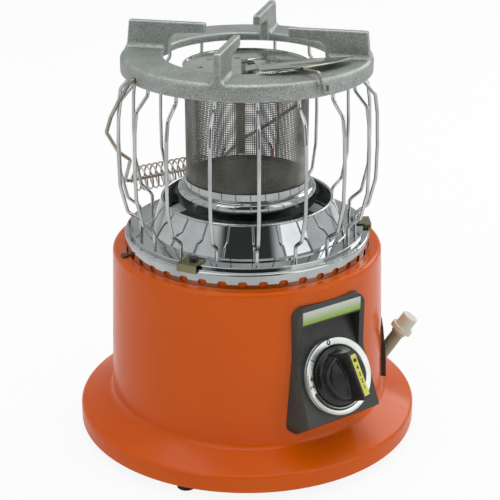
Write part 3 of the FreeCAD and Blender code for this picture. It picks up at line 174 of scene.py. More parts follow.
def prism(outline, low, high):
    """A plate from a flat outline, between two heights."""
    count = len(outline)
    verts = [Vector((p[0], p[1], z)) for z in (low, high) for p in outline]
    faces = [tuple(range(count))[::-1], tuple(range(count, 2 * count))]
    faces += [(i, (i + 1) % count, count + (i + 1) % count, count + i) for i in range(count)]
    return verts, faces


def disc_outline(radius, steps=24, x=0.0, y=0.0):
    turns = [2 * math.pi * k / steps for k in range(steps)]
    return [(x + radius * math.cos(turn), y + radius * math.sin(turn)) for turn in turns]


def raw_object(part):
    mesh = bpy.data.meshes.new("raw")
    mesh.from_pydata([tuple(Vector(v) * MM) for v in part[0]], [], part[1])
    bm = bmesh.new()
    bm.from_mesh(mesh)
    bmesh.ops.remove_doubles(bm, verts=bm.verts, dist=WELD_RAW)
    bmesh.ops.recalc_face_normals(bm, faces=bm.faces)
    bm.to_mesh(mesh)
    bm.free()
    made = bpy.data.objects.new("raw", mesh)
    bpy.context.scene.collection.objects.link(made)
    return made


def baked(obj):
    """The mesh of an object with its modifiers applied; the object goes."""
    graph = bpy.context.evaluated_depsgraph_get()
    mesh = bpy.data.meshes.new_from_object(obj.evaluated_get(graph))
    bpy.data.objects.remove(obj)
    return mesh


def solid(base, cutters=(), adders=(), bevel=0.0, voxel=0.0, soften=0):
    """A base part with parts added or cut away, its edges rounded or all softened as a casting."""
    obj = raw_object(base)
    helpers = []
    for operation, parts in (("UNION", adders), ("DIFFERENCE", cutters)):
        for part in parts:
            tool = raw_object(part)
            helpers.append(tool)
            step = obj.modifiers.new("step", "BOOLEAN")
            step.operation = operation
            step.solver = "EXACT"
            step.object = tool
    if voxel:
        remesh = obj.modifiers.new("voxels", "REMESH")
        remesh.mode = "VOXEL"
        remesh.voxel_size = voxel * MM
        smooth = obj.modifiers.new("soften", "SMOOTH")
        smooth.factor = 0.5
        smooth.iterations = soften
    if bevel:
        round_off = obj.modifiers.new("round", "BEVEL")
        round_off.width = bevel * MM
        round_off.segments = 2
        round_off.limit_method = "ANGLE"
        round_off.angle_limit = math.radians(SHARP)
        round_off.harden_normals = False
    mesh = baked(obj)
    for tool in helpers:
        bpy.data.objects.remove(tool)
    return mesh


# Materials. Scales of noise are per metre, bump distances in millimetres.

DRAW_GRAIN = (40, 40, 900)
DUST_GAIN, DUST_ADD = 1.35, 8
WORN_GAIN, WORN_ADD = 1.7, 12


class Shader:
    """A node material that is put together step by step."""

    def __init__(self, name):
        self.material = bpy.data.materials.new(name)
        self.material.use_nodes = True
        self.tree = self.material.node_tree
        self.surface = self.tree.nodes["Principled BSDF"]
        self.place = self.add("ShaderNodeTexCoord").outputs["Object"]
        self.normal = None

    def add(self, kind, **settings):
        node = self.tree.nodes.new(kind)
        for key, value in settings.items():
            setattr(node, key, value)
        return node

    def link(self, source, target):
        self.tree.links.new(source, target)

    def put(self, value, socket):
        if hasattr(value, "links"):
            self.link(value, socket)
        else:
            socket.default_value = value

    def stretched(self, x, y, z):
        node = self.add("ShaderNodeMapping")
        self.link(self.place, node.inputs["Vector"])
        node.inputs["Scale"].default_value = (x, y, z)
        return node.outputs["Vector"]

    def apart(self):
        """The three measures of a point's place."""
        node = self.add("ShaderNodeSeparateXYZ")
        self.link(self.place, node.inputs[0])
        return node.outputs[0], node.outputs[1], node.outputs[2]

    def noise(self, scale, detail=4.0, rough=0.55, place=None, distort=0.0):
        node = self.add("ShaderNodeTexNoise")
        self.link(place or self.place, node.inputs["Vector"])
        node.inputs["Scale"].default_value = scale
        node.inputs["Detail"].default_value = detail
        node.inputs["Roughness"].default_value = rough
        node.inputs["Distortion"].default_value = distort
        return node.outputs["Fac"]

    def cells(self, scale):
        node = self.add("ShaderNodeTexVoronoi", feature="F1")
        self.link(self.place, node.inputs["Vector"])
        node.inputs["Scale"].default_value = scale
        return node.outputs["Distance"]

    def range(self, value, low, high, to_low=0.0, to_high=1.0):
        """A value mapped from one span to another and kept inside it."""
        node = self.add("ShaderNodeMapRange", clamp=True)
        self.put(value, node.inputs["Value"])
        node.inputs["From Min"].default_value = low
        node.inputs["From Max"].default_value = high
        node.inputs["To Min"].default_value = to_low
        node.inputs["To Max"].default_value = to_high
        return node.outputs["Result"]

    def math(self, operation, first, second=0.0):
        node = self.add("ShaderNodeMath", operation=operation)
        self.put(first, node.inputs[0])
        self.put(second, node.inputs[1])
        return node.outputs[0]

    def mix(self, factor, first, second):
        node = self.add("ShaderNodeMix", data_type="RGBA")
        self.put(factor, node.inputs["Factor"])
        self.put(first, node.inputs[6])
        self.put(second, node.inputs[7])
        return node.outputs[2]

    def edges(self, low=0.52, high=0.6):
        """1 on convex edges, where a surface wears first."""
        return self.range(self.add("ShaderNodeNewGeometry").outputs["Pointiness"], low, high)

    def bump(self, height, strength, distance):
        node = self.add("ShaderNodeBump")
        node.inputs["Strength"].default_value = strength
        node.inputs["Distance"].default_value = distance * MM
        self.link(height, node.inputs["Height"])
        if self.normal:
            self.link(self.normal, node.inputs["Normal"])
        self.normal = node.outputs["Normal"]
        self.link(self.normal, self.surface.inputs["Normal"])

    def finish(self, colour, rough, metal=0.0, **constants):
        self.put(colour, self.surface.inputs["Base Color"])
        self.put(rough, self.surface.inputs["Roughness"])
        self.surface.inputs["Metallic"].default_value = metal
        for key, value in constants.items():
            self.surface.inputs[key.replace("_", " ")].default_value = value
        return self.material


def paint(red, green, blue):
    """A colour as seen on screen, made linear."""
    def linear(value):
        value = value / 255
        return value / 12.92 if value <= 0.04045 else ((value + 0.055) / 1.055) ** 2.4
    return (linear(red), linear(green), linear(blue), 1.0)


def paler(tint, gain, extra):
    return paint(*[min(255, v * gain + extra) for v in tint])


def sheet_metal(slot, light, dark, rough, wavy=0.0):
    """Plated or drawn metal with fine draw lines, faint cloudiness and smudges."""
    s = Shader(slot)
    cloud = s.range(s.noise(28, 5), 0.35, 0.7)
    line = s.noise(1.0, 3, 0.6, s.stretched(*DRAW_GRAIN))
    smudge = s.range(s.noise(75, 6, 0.65, distort=0.6), 0.5, 0.72)
    colour = s.mix(cloud, paint(*light), paint(*dark))
    low, high = rough
    s.bump(line, 0.10, 0.02)
    if wavy:
        s.bump(s.noise(16, 2, 0.4), wavy, 1.0)
    value = s.range(s.math("ADD", smudge, s.math("MULTIPLY", line, 0.5)), 0.1, 1.4, low, high)
    return slot, s.finish(colour, value, 1.0)


def moulded(slot, light, dark, rough, grain=900, depth=0.05, wear=0.35, coat=0.0):
    """Moulded plastic or rubber with a fine eroded skin, dust and paler worn edges."""
    s = Shader(slot)
    cloud = s.range(s.noise(45, 5), 0.35, 0.7)
    dust = s.range(s.noise(190, 8, 0.7), 0.55, 0.75, 0.0, 0.25)
    colour = s.mix(cloud, paint(*dark), paint(*light))
    colour = s.mix(dust, colour, paler(light, DUST_GAIN, DUST_ADD))
    worn = s.math("MULTIPLY", s.edges(), wear)
    colour = s.mix(worn, colour, paler(light, WORN_GAIN, WORN_ADD))
    s.bump(s.noise(grain * 1.6, 3, 0.6), 0.35, depth)
    low, high = rough
    value = s.range(s.noise(130, 6, 0.65), 0.3, 0.75, low, high)
    return slot, s.finish(colour, value, 0.0, Coat_Weight=coat, Coat_Roughness=0.2)


def enamel():
    """Glossy orange enamel with slight orange peel, dark flecks, smears and paler edges."""
    s = Shader("orange_enamel")
    cloud = s.range(s.noise(14, 4), 0.3, 0.7)
    colour = s.mix(cloud, paint(216, 88, 0), paint(222, 94, 1))
    fleck = s.range(s.cells(420), 0.02, 0.06, 1.0, 0.0)
    fleck = s.math("MULTIPLY", fleck, s.range(s.noise(90, 3), 0.55, 0.62, 0.0, 0.35))
    colour = s.mix(fleck, colour, paint(176, 56, 0))
    worn = s.math("MULTIPLY", s.edges(0.53, 0.62), 0.3)
    colour = s.mix(worn, colour, paint(240, 122, 44))
    s.bump(s.noise(210, 3, 0.5), 0.10, 0.16)
    s.bump(s.noise(38, 2, 0.5), 0.08, 0.5)
    smear = s.range(s.noise(60, 7, 0.7, distort=0.8), 0.42, 0.74, 0.16, 0.30)
    return "orange_enamel", s.finish(colour, smear, 0.0, Specular_IOR_Level=0.24)


def casting():
    """Rough cast aluminium with bright specks, dark pits and rubbed edges."""
    s = Shader("cast_ring")
    cloud = s.range(s.noise(55, 6, 0.6), 0.32, 0.68)
    colour = s.mix(cloud, paint(134, 140, 136), paint(160, 167, 162))
    speck = s.range(s.noise(1500, 2, 0.6), 0.46, 0.66)
    colour = s.mix(s.math("MULTIPLY", speck, 0.6), colour, paint(222, 228, 225))
    pit = s.range(s.cells(1100), 0.12, 0.42, 0.45, 0.0)
    colour = s.mix(pit, colour, paint(92, 98, 95))
    worn = s.edges(0.51, 0.57)
    colour = s.mix(s.math("MULTIPLY", worn, 0.5), colour, paint(226, 232, 228))
    s.bump(s.noise(1300, 3, 0.6), 0.8, 0.35)
    s.bump(s.noise(300, 5, 0.65), 0.5, 0.7)
    s.bump(s.noise(50, 3, 0.5), 0.35, 1.4)
    value = s.range(s.noise(420, 6), 0.3, 0.7, 0.34, 0.58)
    return "cast_ring", s.finish(colour, value, 0.9)


def tinted():
    """Thin steel with a straw tint from heat."""
    s = Shader("tinted_steel")
    warm = s.range(s.noise(26, 3, 0.5), 0.4, 0.68)
    colour = s.mix(warm, paint(192, 197, 187), paint(158, 160, 148))
    straw = s.range(s.noise(18, 2, 0.5), 0.6, 0.78, 0.0, 0.35)
    colour = s.mix(straw, colour, paint(150, 134, 110))
    line = s.noise(1.0, 4, 0.6, s.stretched(900, 60, 60))
    s.bump(line, 0.08, 0.02)
    s.bump(s.noise(30, 2), 0.12, 0.8)
    value = s.range(s.noise(80, 7, 0.7), 0.35, 0.75, 0.12, 0.30)
    colour = s.mix(s.edges(0.52, 0.58), colour, paint(222, 222, 212))
    return "tinted_steel", s.finish(colour, value, 1.0)


def turned_steel(slot, light, dark, rough, grime):
    """Steel with fine rings of turning round the upright axis, and soot."""
    s = Shader(slot)
    x, y, _ = s.apart()
    radius = s.math("POWER", s.math("ADD", s.math("MULTIPLY", x, x), s.math("MULTIPLY", y, y)), 0.5)
    join = s.add("ShaderNodeCombineXYZ")
    s.link(s.math("MULTIPLY", radius, 2600.0), join.inputs[0])
    ring = s.noise(1.0, 3, 0.6, join.outputs[0])
    colour = s.mix(s.range(s.noise(30, 5), 0.35, 0.7), paint(*light), paint(*dark))
    soot = s.range(s.noise(55, 6, 0.65), 0.5, 0.8, 0.0, grime)
    colour = s.mix(soot, colour, paint(112, 104, 96))
    s.bump(ring, 0.2, 0.02)
    s.bump(s.noise(24, 2), 0.15, 0.8)
    value = s.range(ring, 0.3, 0.7, *rough)
    return "chrome_sheet", s.finish(colour, value, 1.0)


def print_ink(name, dark, light):
    """Printed marks, slightly worn."""
    s = Shader(name)
    colour = s.mix(s.range(s.noise(600, 6), 0.4, 0.7), paint(*dark), paint(*light))
    s.bump(s.noise(1400, 3), 0.2, 0.02)
    return "knob_plastic", s.finish(colour, s.range(s.noise(300, 5), 0.3, 0.7, 0.35, 0.6))


def wire_cloth():
    """Woven steel wire, dulled by heat in places."""
    s = Shader("steel_mesh")
    colour = s.mix(s.range(s.noise(40, 5), 0.35, 0.7), paint(150, 152, 146), paint(104, 102, 96))
    s.bump(s.noise(1500, 3), 0.2, 0.03)
    value = s.range(s.noise(90, 5), 0.3, 0.7, 0.28, 0.5)
    return "steel_mesh", s.finish(colour, value, 1.0)


def foil(slot, start, end, low, high):
    """Bare label stock that runs from one tint to another along its height."""
    s = Shader(slot)
    along = s.range(s.apart()[2], low * MM, high * MM)
    colour = s.mix(along, paint(*start), paint(*end))
    scuff = s.range(s.noise(320, 6, 0.7), 0.58, 0.8, 0.0, 0.2)
    colour = s.mix(scuff, colour, paint(150, 156, 120))
    s.bump(s.noise(700, 3), 0.2, 0.03)
    value = s.range(s.noise(140, 5), 0.3, 0.7, 0.3, 0.5)
    return slot, s.finish(colour, value, 0.0)


def cap_look():
    """Milky plastic that lets a little light in."""
    s = Shader("cap_plastic")
    colour = s.mix(s.range(s.noise(90, 5), 0.3, 0.7), paint(226, 228, 214), paint(212, 214, 196))
    s.bump(s.noise(420, 4), 0.25, 0.1)
    value = s.range(s.noise(150, 5), 0.3, 0.7, 0.28, 0.46)
    s.surface.inputs["Subsurface Radius"].default_value = (0.004, 0.004, 0.003)
    return "cap_plastic", s.finish(colour, value, 0.0, Subsurface_Weight=0.25, Subsurface_Scale=0.4)


LOOKS = {
    "orange_enamel": enamel(),
    "zinc_plate": sheet_metal("zinc_plate", (196, 198, 196), (160, 163, 162), (0.28, 0.5)),
    "sole_rubber": moulded("sole_rubber", (34, 34, 34), (22, 22, 22), (0.6, 0.85), 700, 0.08),
    "zinc_screw": sheet_metal("zinc_screw", (206, 208, 206), (168, 170, 168), (0.2, 0.4)),
    "dark_screw": sheet_metal("dark_screw", (96, 98, 98), (64, 66, 66), (0.25, 0.45)),
    "chrome_sheet": sheet_metal("chrome_sheet", (190, 195, 194), (158, 163, 163), (0.04, 0.12),
                                wavy=0.14),
    "mirror_sheet": sheet_metal("mirror_sheet", (196, 201, 201), (166, 171, 172), (0.02, 0.08),
                                wavy=0.2),
    "chrome_wire": sheet_metal("chrome_wire", (206, 209, 209), (172, 175, 176), (0.05, 0.16)),
    "olive_plate": sheet_metal("olive_plate", (150, 146, 112), (112, 108, 82), (0.25, 0.45)),
    "cast_ring": casting(),
    "steel_mesh": wire_cloth(),
    "tinted_steel": tinted(),
    "top_steel": turned_steel("top_steel", (208, 212, 207), (176, 180, 174), (0.08, 0.2), 0.35),
    "brushed_dial": turned_steel("brushed_dial", (214, 218, 214), (192, 197, 192), (0.22, 0.38),
                                 0.1),
    "mark_ink": print_ink("mark_ink", (24, 25, 24), (38, 39, 37)),
    "pale_ink": print_ink("pale_ink", (176, 178, 172), (204, 206, 200)),
    "bail_steel": sheet_metal("bail_steel", (176, 174, 164), (128, 124, 114), (0.2, 0.42)),
    "spring_steel": sheet_metal("spring_steel", (180, 178, 168), (120, 116, 106), (0.2, 0.4)),
    "black_plastic": moulded("black_plastic", (52, 56, 52), (44, 48, 45), (0.4, 0.58), 900,
                              0.06, wear=0.15),
    "knob_plastic": moulded("knob_plastic", (26, 28, 26), (18, 19, 18), (0.2, 0.36), 500,
                             0.02, wear=0.1),
    "label_foil": foil("label_foil", (150, 190, 62), (214, 220, 212), 129.5, 137.0),
    "strip_foil": foil("strip_foil", (226, 226, 84), (220, 220, 104), 60, 110),
    "brass_fitting": sheet_metal("brass_fitting", (204, 176, 96), (170, 142, 70), (0.2, 0.4)),
    "cast_iron": moulded("cast_iron", (84, 80, 74), (58, 54, 50), (0.55, 0.8), 420, 0.35),
    "ceramic_white": moulded("ceramic_white", (228, 226, 218), (212, 210, 200), (0.25, 0.4)),
    "lead_sleeve": moulded("lead_sleeve", (196, 192, 182), (160, 156, 148), (0.5, 0.7)),
    "copper_lead": sheet_metal("copper_lead", (204, 128, 92), (160, 92, 62), (0.25, 0.45)),
    "olive_tube": moulded("olive_tube", (168, 168, 134), (146, 146, 112), (0.3, 0.46), coat=0.2),
    "cap_plastic": cap_look(),
    "igniter_plastic": moulded("igniter_plastic", (48, 50, 56), (36, 38, 42), (0.4, 0.55)),
}

def paint_node(node, look):
    for slot_of_node in frame["nodes"][node].material_slots:
        slot_of_node.material = LOOKS[look][1]


for part in frame["record"]["subparts"]:
    paint_node(part["node"], part["material_slot"])
paint_node("top_disc", "top_steel")


# Cast pot ring

FIN_TOP = 324.4
FIN_HALF = 2.7
FIN_DRAFT = 0.018
FIN_FOOT_START = 62.6


def fin(azimuth):
    """A fin as a drafted plate, and its flared foot on the ring."""
    outline = [(31.5, FIN_TOP), (90.4, FIN_TOP), (92.8, 300.0), (62.0, 298.9), (60.2, 298.9),
               (58.4, 312.5), (55.0, 315.5), (31.5, 316.8)]
    verts = []
    for side in (-1, 1):
        for r, z in outline:
            half = FIN_HALF + (FIN_TOP - z) * FIN_DRAFT
            verts.append(Vector((side * half, -r, z)))
    count = len(outline)
    faces = [tuple(range(count)), tuple(range(count, 2 * count))[::-1]]
    faces += [(i, count + i, count + (i + 1) % count, (i + 1) % count) for i in range(count)]
    foot = []
    for half, z, near in ((5.6, 303.2, 93.6), (3.2, 306.6, 92.4)):
        foot += [Vector((x, -reach, z)) for x, reach in
                 ((-half, FIN_FOOT_START), (half, FIN_FOOT_START), (half, near), (-half, near))]
    foot_faces = [(0, 1, 2, 3), (4, 5, 6, 7)]
    foot_faces += [(i, (i + 1) % 4, 4 + (i + 1) % 4, 4 + i) for i in range(4)]
    return moved((verts, faces), seat(azimuth)), moved((foot, foot_faces), seat(azimuth))


ring = lathe([(62.5, 297.9, 1.6), (62.5, 304.2, 1.9), (94.1, 304.2, 3.2), (94.1, 291.6, 1.2),
              (88.1, 291.6, 0.8), (88.1, 297.9, 1.0)], 5, 160)
fins = [part for k in range(4) for part in fin(FIN_AZIMUTH + 90 * k)]
bail_holes = [moved(prism(disc_outline(BAIL_HOLE_RADIUS, 16), 84.0, 97.0),
                    seat(BAIL_AZIMUTH + turn) @ shift(0, 0, BAIL_HEIGHT) @ tip(90))
              for turn in (0, 180)]
dress("ring_casting", solid(ring, bail_holes, fins, voxel=0.72, soften=5), LOOKS["cast_ring"],
      stands_for=("pot_ring",), sharp=70)


# Orange lip of the shell behind the slots of the collar

LIP_INNER, LIP_OUTER = 92.6, 93.4
LIP_LOW, LIP_HIGH = 152.9, 161.0
lip = lathe([(LIP_INNER, LIP_LOW, 0), (LIP_OUTER, LIP_LOW, 0), (LIP_OUTER, LIP_HIGH, 0.3),
             (LIP_INNER, LIP_HIGH, 0.3)], 3, 160)
add_mesh("shell_lip", lip, Matrix(), LOOKS["orange_enamel"], sharp=60)


# Woven mesh

WARP, WEFT = 200, 72
CLOTH_LOW, CLOTH_HIGH = 190.2, 293.2
CLOTH_RADIUS = 46.38
WIRE_HALF = 0.26
WAVE = 0.16  # how far a wire swings in and out as it passes over and under the others


def weave():
    """Upright wires, then rings, each with a square section and crossing the others in turn."""
    step = (CLOTH_HIGH - CLOTH_LOW) / WEFT
    section = ((WIRE_HALF, 0), (0, WIRE_HALF), (-WIRE_HALF, 0), (0, -WIRE_HALF))
    verts, faces = [], []
    for i in range(WARP):
        angle = 2 * math.pi * i / WARP
        c, s = math.cos(angle), math.sin(angle)
        start = len(verts)
        for j in range(WEFT + 1):
            r = CLOTH_RADIUS + (WAVE if (i + j) % 2 else -WAVE)
            z = CLOTH_LOW + j * step
            for across, out in section:
                verts.append(Vector(((r + out) * c - across * s, (r + out) * s + across * c, z)))
        for j in range(WEFT):
            for k in range(4):
                a, b = start + j * 4 + k, start + j * 4 + (k + 1) % 4
                faces.append((a, b, b + 4, a + 4))
    for j in range(WEFT + 1):
        z = CLOTH_LOW + j * step
        start = len(verts)
        for i in range(WARP):
            angle = 2 * math.pi * i / WARP
            c, s = math.cos(angle), math.sin(angle)
            r = CLOTH_RADIUS + (-WAVE if (i + j) % 2 else WAVE)
            for up, out in section:
                verts.append(Vector(((r + out) * c, (r + out) * s, z + up)))
        for i in range(WARP):
            here, there = start + i * 4, start + (i + 1) % WARP * 4
            for k in range(4):
                faces.append((here + k, here + (k + 1) % 4, there + (k + 1) % 4, there + k))
    return verts, faces


cloth = weave()
add_mesh("mesh_weave", cloth, Matrix(), LOOKS["steel_mesh"], stands_for=("mesh_tube",), sharp=80)


# Dial

def band(inner, outer, start, end, low, high, inner_end=None, outer_end=None, steps=48):
    """A flat arc between two angles counted clockwise from the top; its width may taper."""
    outline = []
    for k in range(steps + 1):
        f = k / steps
        angle = math.radians(start + (end - start) * f)
        r = outer + ((outer_end if outer_end is not None else outer) - outer) * f
        outline.append((r * math.sin(angle), r * math.cos(angle)))
    for k in range(steps, -1, -1):
        f = k / steps
        angle = math.radians(start + (end - start) * f)
        r = inner + ((inner_end if inner_end is not None else inner) - inner) * f
        outline.append((r * math.sin(angle), r * math.cos(angle)))
    verts, faces = [], []
    for z in (low, high):
        verts += [Vector((p[0], p[1], z)) for p in outline]
    total = len(outline)
    for k in range(steps):
        a, b, c, d = k, k + 1, total - 2 - k, total - 1 - k
        faces.append((a, b, c, d))
        faces.append((total + a, total + d, total + c, total + b))
    for k in range(total):
        j = (k + 1) % total
        faces.append((k, total + k, total + j, j))
    return verts, faces


STROKE_SWELL = 0.022  # how much a number's strokes are thickened, as a share of its size


def numeral(text, size, x, y, turn, low, high):
    """A plain number as a thin plate."""
    curve = bpy.data.curves.new("numeral", "FONT")
    curve.body = text
    curve.size = size
    curve.align_x = "CENTER"
    curve.align_y = "CENTER"
    curve.offset = size * STROKE_SWELL
    curve.extrude = (high - low) / 2
    made = bpy.data.objects.new("numeral", curve)
    bpy.context.scene.collection.objects.link(made)
    mesh = baked(made)
    place = shift(x, y, (low + high) / 2) @ tip(turn, "Z")
    part = [place @ v.co for v in mesh.vertices], [tuple(p.vertices) for p in mesh.polygons]
    bpy.data.meshes.remove(mesh)
    return part


bezel = lathe([(22.75, 0.1, 0), (28.8, 0.1, 0), (28.8, 2.4, 0.3), (28.2, 2.8, 0.2),
               (28.2, 3.4, 0.2), (29.0, 3.9, 0.3), (29.0, 5.4, 0.8), (28.2, 6.3, 0.4),
               (23.6, 5.9, 0.3), (22.75, 5.2, 0.3)], 4, 160)
add_mesh("bezel_ring", bezel, DIAL, LOOKS["brushed_dial"], stands_for=("dial_bezel",), sharp=50)
FACE = 6.02


def on_face(angle, radius):
    """Where a mark sits on the bezel's face, its angle counted clockwise from the top."""
    return radius * math.sin(math.radians(angle)), radius * math.cos(math.radians(angle))


ink = [
    band(24.0, 24.4, -14, -74, FACE - 0.2, FACE + 0.12),
    band(24.0, 26.9, -106, -222, FACE - 0.2, FACE + 0.2, 24.0, 24.3),
    band(27.3, 27.7, -110, -205, FACE - 0.2, FACE + 0.3, 27.4, 27.6),
    moved(prism([(-1.7, 1.6), (1.7, 1.6), (0, -2.0)], FACE - 0.1, FACE + 0.2),
          tip(80, "Z") @ shift(0, 25.3, 0) @ tip(90, "Z")),
    numeral("0", 6.4, *on_face(-7, 26.1), 7, FACE - 0.1, FACE + 0.3),
    numeral("1", 5.8, *on_face(-51, 26.2), 51, FACE - 0.1, FACE + 0.3),
    numeral("2", 5.0, *on_face(-94, 26.0), 94, FACE - 0.1, FACE + 0.3),
]
marks = merged(ink)
add_mesh("bezel_marks", marks, DIAL, LOOKS["mark_ink"], sharp=30)


# Knob

GRIP_HALF = 18.6


def knob_mesh():
    """The skirt, its core and the bar grip across it, as one moulding."""
    skirt = lathe([(4.0, 4.7, 0), (22.1, 4.7, 0.3), (22.1, 6.2, 0.7), (18.4, 8.4, 2.0),
                   (17.2, 16.6, 3.4), (4.0, 20.6, 0)], 5, 160)
    core = prism(disc_outline(6.0, 32), 4.8, 20.0)
    outline = [(-5.6, 8.0), (5.6, 8.0), (4.3, 20.0), (3.3, 29.9), (-3.3, 29.9), (-4.3, 20.0)]
    verts = [Vector((x, y, z)) for y in (-GRIP_HALF, GRIP_HALF) for x, z in outline]
    count = len(outline)
    faces = [tuple(range(count)), tuple(range(count, 2 * count))[::-1]]
    faces += [(i, count + i, count + (i + 1) % count, (i + 1) % count) for i in range(count)]
    return solid(skirt, adders=[core, (verts, faces)], voxel=0.42, soften=4)


def placed_mesh(mesh, place):
    """A mesh in metres, moved by a place given in millimetres."""
    move = place.copy()
    move.translation = place.translation * MM
    mesh.transform(move)
    return mesh


KNOB = DIAL @ tip(KNOB_TURN, "Z")
dress("knob_grip", placed_mesh(knob_mesh(), KNOB), LOOKS["knob_plastic"], "knob_body",
      ("knob",), 65)
skirt_marks = merged([numeral(text, 3.4, *on_face(angle, 20.3), -angle, 6.0, 6.4)
                      for text, angle in (("2", -108), ("1", -121))])
add_mesh("knob_marks", skirt_marks, KNOB, LOOKS["pale_ink"], "knob_body", sharp=30)
STRIP_LEFT, STRIP_RIGHT, STRIP_HALF = -1.7, 2.9, 15.9
STRIP_CORNER = 0.4
strip_corners = ((STRIP_LEFT, -STRIP_HALF), (STRIP_RIGHT, -STRIP_HALF),
                 (STRIP_RIGHT, STRIP_HALF), (STRIP_LEFT, STRIP_HALF))
strip = prism(rounded([(x, y, STRIP_CORNER) for x, y in strip_corners], 3), 29.7, 30.4)
add_mesh("strip_plate", strip, KNOB, LOOKS["strip_foil"], "knob_body", ("knob_strip",), 30)
STRIP_MIDDLE = 0.6
STRIP_INK = (30.3, 30.47)
strip_marks = merged([prism(disc_outline(1.45, 20, STRIP_MIDDLE, 11.4), *STRIP_INK)]
                     + [numeral(text, 4.2, STRIP_MIDDLE, y, 0, *STRIP_INK)
                        for text, y in (("4", 5.6), ("3", 0.4), ("2", -4.6), ("1", -9.4))])
add_mesh("strip_marks", strip_marks, KNOB, LOOKS["mark_ink"], "knob_body", sharp=30)


# Lid

LID_ROOT, LID_NECK = Vector((5.4, -9.0)), Vector((11.0, -25.0))
LID_RIGHT, LID_BOW, LID_LEFT = Vector((48.4, -58.3)), Vector((9.0, -67.5)), Vector((-27.0, -52.0))
LID_BACK = -2.0
LID_LIFT, LID_WALL = 0.9, 1.0
FLANGE_REACH = 48.0
FLANGE_LOW = -4.6
FLANGE_OVERLAP = 0.4
KNUCKLE_RADIUS = 2.4


def circle_centre(a, b, c):
    """The middle of the circle through three points."""
    d = 2 * (a.x * (b.y - c.y) + b.x * (c.y - a.y) + c.x * (a.y - b.y))
    x = (a.length_squared * (b.y - c.y) + b.length_squared * (c.y - a.y)
         + c.length_squared * (a.y - b.y)) / d
    y = (a.length_squared * (c.x - b.x) + b.length_squared * (a.x - c.x)
         + c.length_squared * (b.x - a.x)) / d
    return Vector((x, y))


def lid_mesh():
    """The flat plate with its bowed end, a turned-down flange on each side and the knuckle."""
    bow = swept(circle_centre(LID_RIGHT, LID_BOW, LID_LEFT), LID_RIGHT, LID_LEFT, 24)
    outline = [(LID_ROOT.x, LID_BACK), LID_ROOT, LID_NECK, *bow, (-LID_ROOT.x, LID_ROOT.y),
               (-LID_ROOT.x, LID_BACK)]
    plate = prism(outline, LID_LIFT, LID_LIFT + LID_WALL)
    sides = []
    for near, far, inward in ((LID_NECK, LID_RIGHT, -1),
                              (Vector((-LID_ROOT.x, LID_ROOT.y)), LID_LEFT, 1)):
        run = far - near
        reach = (FLANGE_REACH - near.length) / (far.length - near.length)
        start, end = near + run * 0.05, near + run * reach
        inner = Vector((-run.y, run.x)).normalized() * inward * LID_WALL
        sides.append(prism([start, end, end + inner, start + inner], FLANGE_LOW,
                           LID_LIFT + FLANGE_OVERLAP))
    knuckle = prism(disc_outline(KNUCKLE_RADIUS, 24), -LID_ROOT.x, LID_ROOT.x)
    return solid(plate, adders=sides + [moved(knuckle, tip(90, "Y"))], bevel=0.3)


dress("lid_sheet", placed_mesh(lid_mesh(), LID), LOOKS["tinted_steel"], "lid", ("lid_plate",), 40)


# Studio

def lamp(name, place, aim, size, watts):
    """A soft white panel at a place, turned towards a point."""
    data = bpy.data.lights.new(name, "AREA")
    data.shape = "RECTANGLE"
    data.size, data.size_y = size
    data.energy = watts
    made = bpy.data.objects.new(name, data)
    made.location = place
    made.rotation_euler = (Vector(aim) - Vector(place)).to_track_quat("-Z", "Y").to_euler()
    bpy.context.scene.collection.objects.link(made)


def studio_floor():
    """A wide, flat, pale floor, lifted towards white for the camera; it keeps the shadow."""
    bm = bmesh.new()
    bmesh.ops.create_grid(bm, x_segments=24, y_segments=24, size=4.0)
    mesh = bpy.data.meshes.new("studio_floor")
    bm.to_mesh(mesh)
    bm.free()
    floor = bpy.data.objects.new("studio_floor", mesh)
    bpy.context.scene.collection.objects.link(floor)
    s = Shader("pale_floor")
    colour = s.mix(s.noise(3, 3), (0.90, 0.90, 0.90, 1), (0.93, 0.93, 0.93, 1))
    material = s.finish(colour, 0.9)
    output = s.tree.nodes["Material Output"]
    lift = s.add("ShaderNodeEmission")
    lift.inputs["Strength"].default_value = 1.0
    seen = s.add("ShaderNodeLightPath").outputs["Is Camera Ray"]
    blend = s.add("ShaderNodeMixShader")
    s.link(s.math("MULTIPLY", seen, FLOOR_LIFT), blend.inputs[0])
    s.link(s.surface.outputs[0], blend.inputs[1])
    s.link(lift.outputs[0], blend.inputs[2])
    s.link(blend.outputs[0], output.inputs["Surface"])
    mesh.materials.append(material)


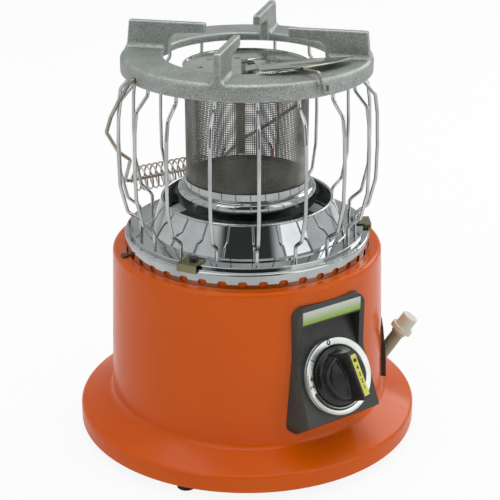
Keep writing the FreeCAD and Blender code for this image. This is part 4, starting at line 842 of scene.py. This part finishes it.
def studio_world():
    """White to the camera. An even room, brighter above, lights the object; shiny surfaces mirror
    a dark one with bright sides, ceiling and back."""
    world = bpy.data.worlds.new("studio")
    world.use_nodes = True
    bpy.context.scene.world = world
    tree = world.node_tree
    background = tree.nodes["Background"]
    # The way a ray goes: x to the right, y to the back, z up
    ways = tree.nodes.new("ShaderNodeTexCoord").outputs["Generated"]
    apart = tree.nodes.new("ShaderNodeSeparateXYZ")
    tree.links.new(ways, apart.inputs[0])

    def ramp(source, low, high, to_low, to_high):
        node = tree.nodes.new("ShaderNodeMapRange")
        node.interpolation_type = "SMOOTHSTEP"
        tree.links.new(source, node.inputs["Value"])
        for key, value in (("From Min", low), ("From Max", high), ("To Min", to_low),
                           ("To Max", to_high)):
            node.inputs[key].default_value = value
        return node.outputs[0]

    def math_of(operation, first, second):
        node = tree.nodes.new("ShaderNodeMath")
        node.operation = operation
        for socket, value in zip(node.inputs, (first, second)):
            if hasattr(value, "links"):
                tree.links.new(value, socket)
            else:
                socket.default_value = value
        return node.outputs[0]

    room = ramp(apart.outputs[2], -0.1, 0.7, ROOM_LOW, ROOM_HIGH)
    side = ramp(math_of("ABSOLUTE", apart.outputs[0], 0.0), 0.42, 0.62, ROOM_DARK, ROOM_SIDE)
    above = ramp(apart.outputs[2], 0.72, 0.86, ROOM_DARK, ROOM_ABOVE)
    behind = ramp(apart.outputs[1], 0.1, 0.5, ROOM_DARK, ROOM_BEHIND)
    mirrored = math_of("MAXIMUM", math_of("MAXIMUM", side, above), behind)
    rays = tree.nodes.new("ShaderNodeLightPath").outputs
    shiny = math_of("MAXIMUM", rays["Is Glossy Ray"], rays["Is Transmission Ray"])
    mix_shiny = tree.nodes.new("ShaderNodeMix")
    tree.links.new(shiny, mix_shiny.inputs["Factor"])
    tree.links.new(room, mix_shiny.inputs[2])
    tree.links.new(mirrored, mix_shiny.inputs[3])
    mix_seen = tree.nodes.new("ShaderNodeMix")
    tree.links.new(rays["Is Camera Ray"], mix_seen.inputs["Factor"])
    tree.links.new(mix_shiny.outputs[0], mix_seen.inputs[2])
    mix_seen.inputs[3].default_value = 1.0
    tree.links.new(mix_seen.outputs[0], background.inputs["Strength"])
    background.inputs["Color"].default_value = (1, 1, 1, 1)


def studio_camera():
    data = bpy.data.cameras.new("camera")
    data.lens = LENS
    data.sensor_width = SENSOR
    camera = bpy.data.objects.new("camera", data)
    camera.location = CAMERA_PLACE
    camera.rotation_euler = (math.radians(CAMERA_TILT), 0, 0)
    bpy.context.scene.collection.objects.link(camera)
    bpy.context.scene.camera = camera


CAMERA_PLACE = (0.0023, -0.982, 0.548)
CAMERA_TILT = 67.7
LENS = 97.13
SENSOR = 36.0
MIDDLE = (0, 0, 0.15)
FLOOR_LIFT = 0.9
ROOM_LOW = 0.24
ROOM_HIGH = 0.5
ROOM_DARK = 0.05
ROOM_SIDE = 0.75
ROOM_ABOVE = 0.9
ROOM_BEHIND = 0.5
studio_floor()
studio_world()
studio_camera()
lamp("key", (-1.1, -1.5, 1.7), MIDDLE, (1.3, 1.3), 7.5)
lamp("fill", (1.6, -0.9, 1.0), MIDDLE, (1.2, 1.6), 6)
lamp("top", (0, 0.3, 2.2), MIDDLE, (1.8, 1.8), 16)
lamp("back", (1.3, 1.3, 1.2), (0, 0, 0.25), (1.0, 1.0), 9)

bpy.context.scene.view_settings.view_transform = "Standard"
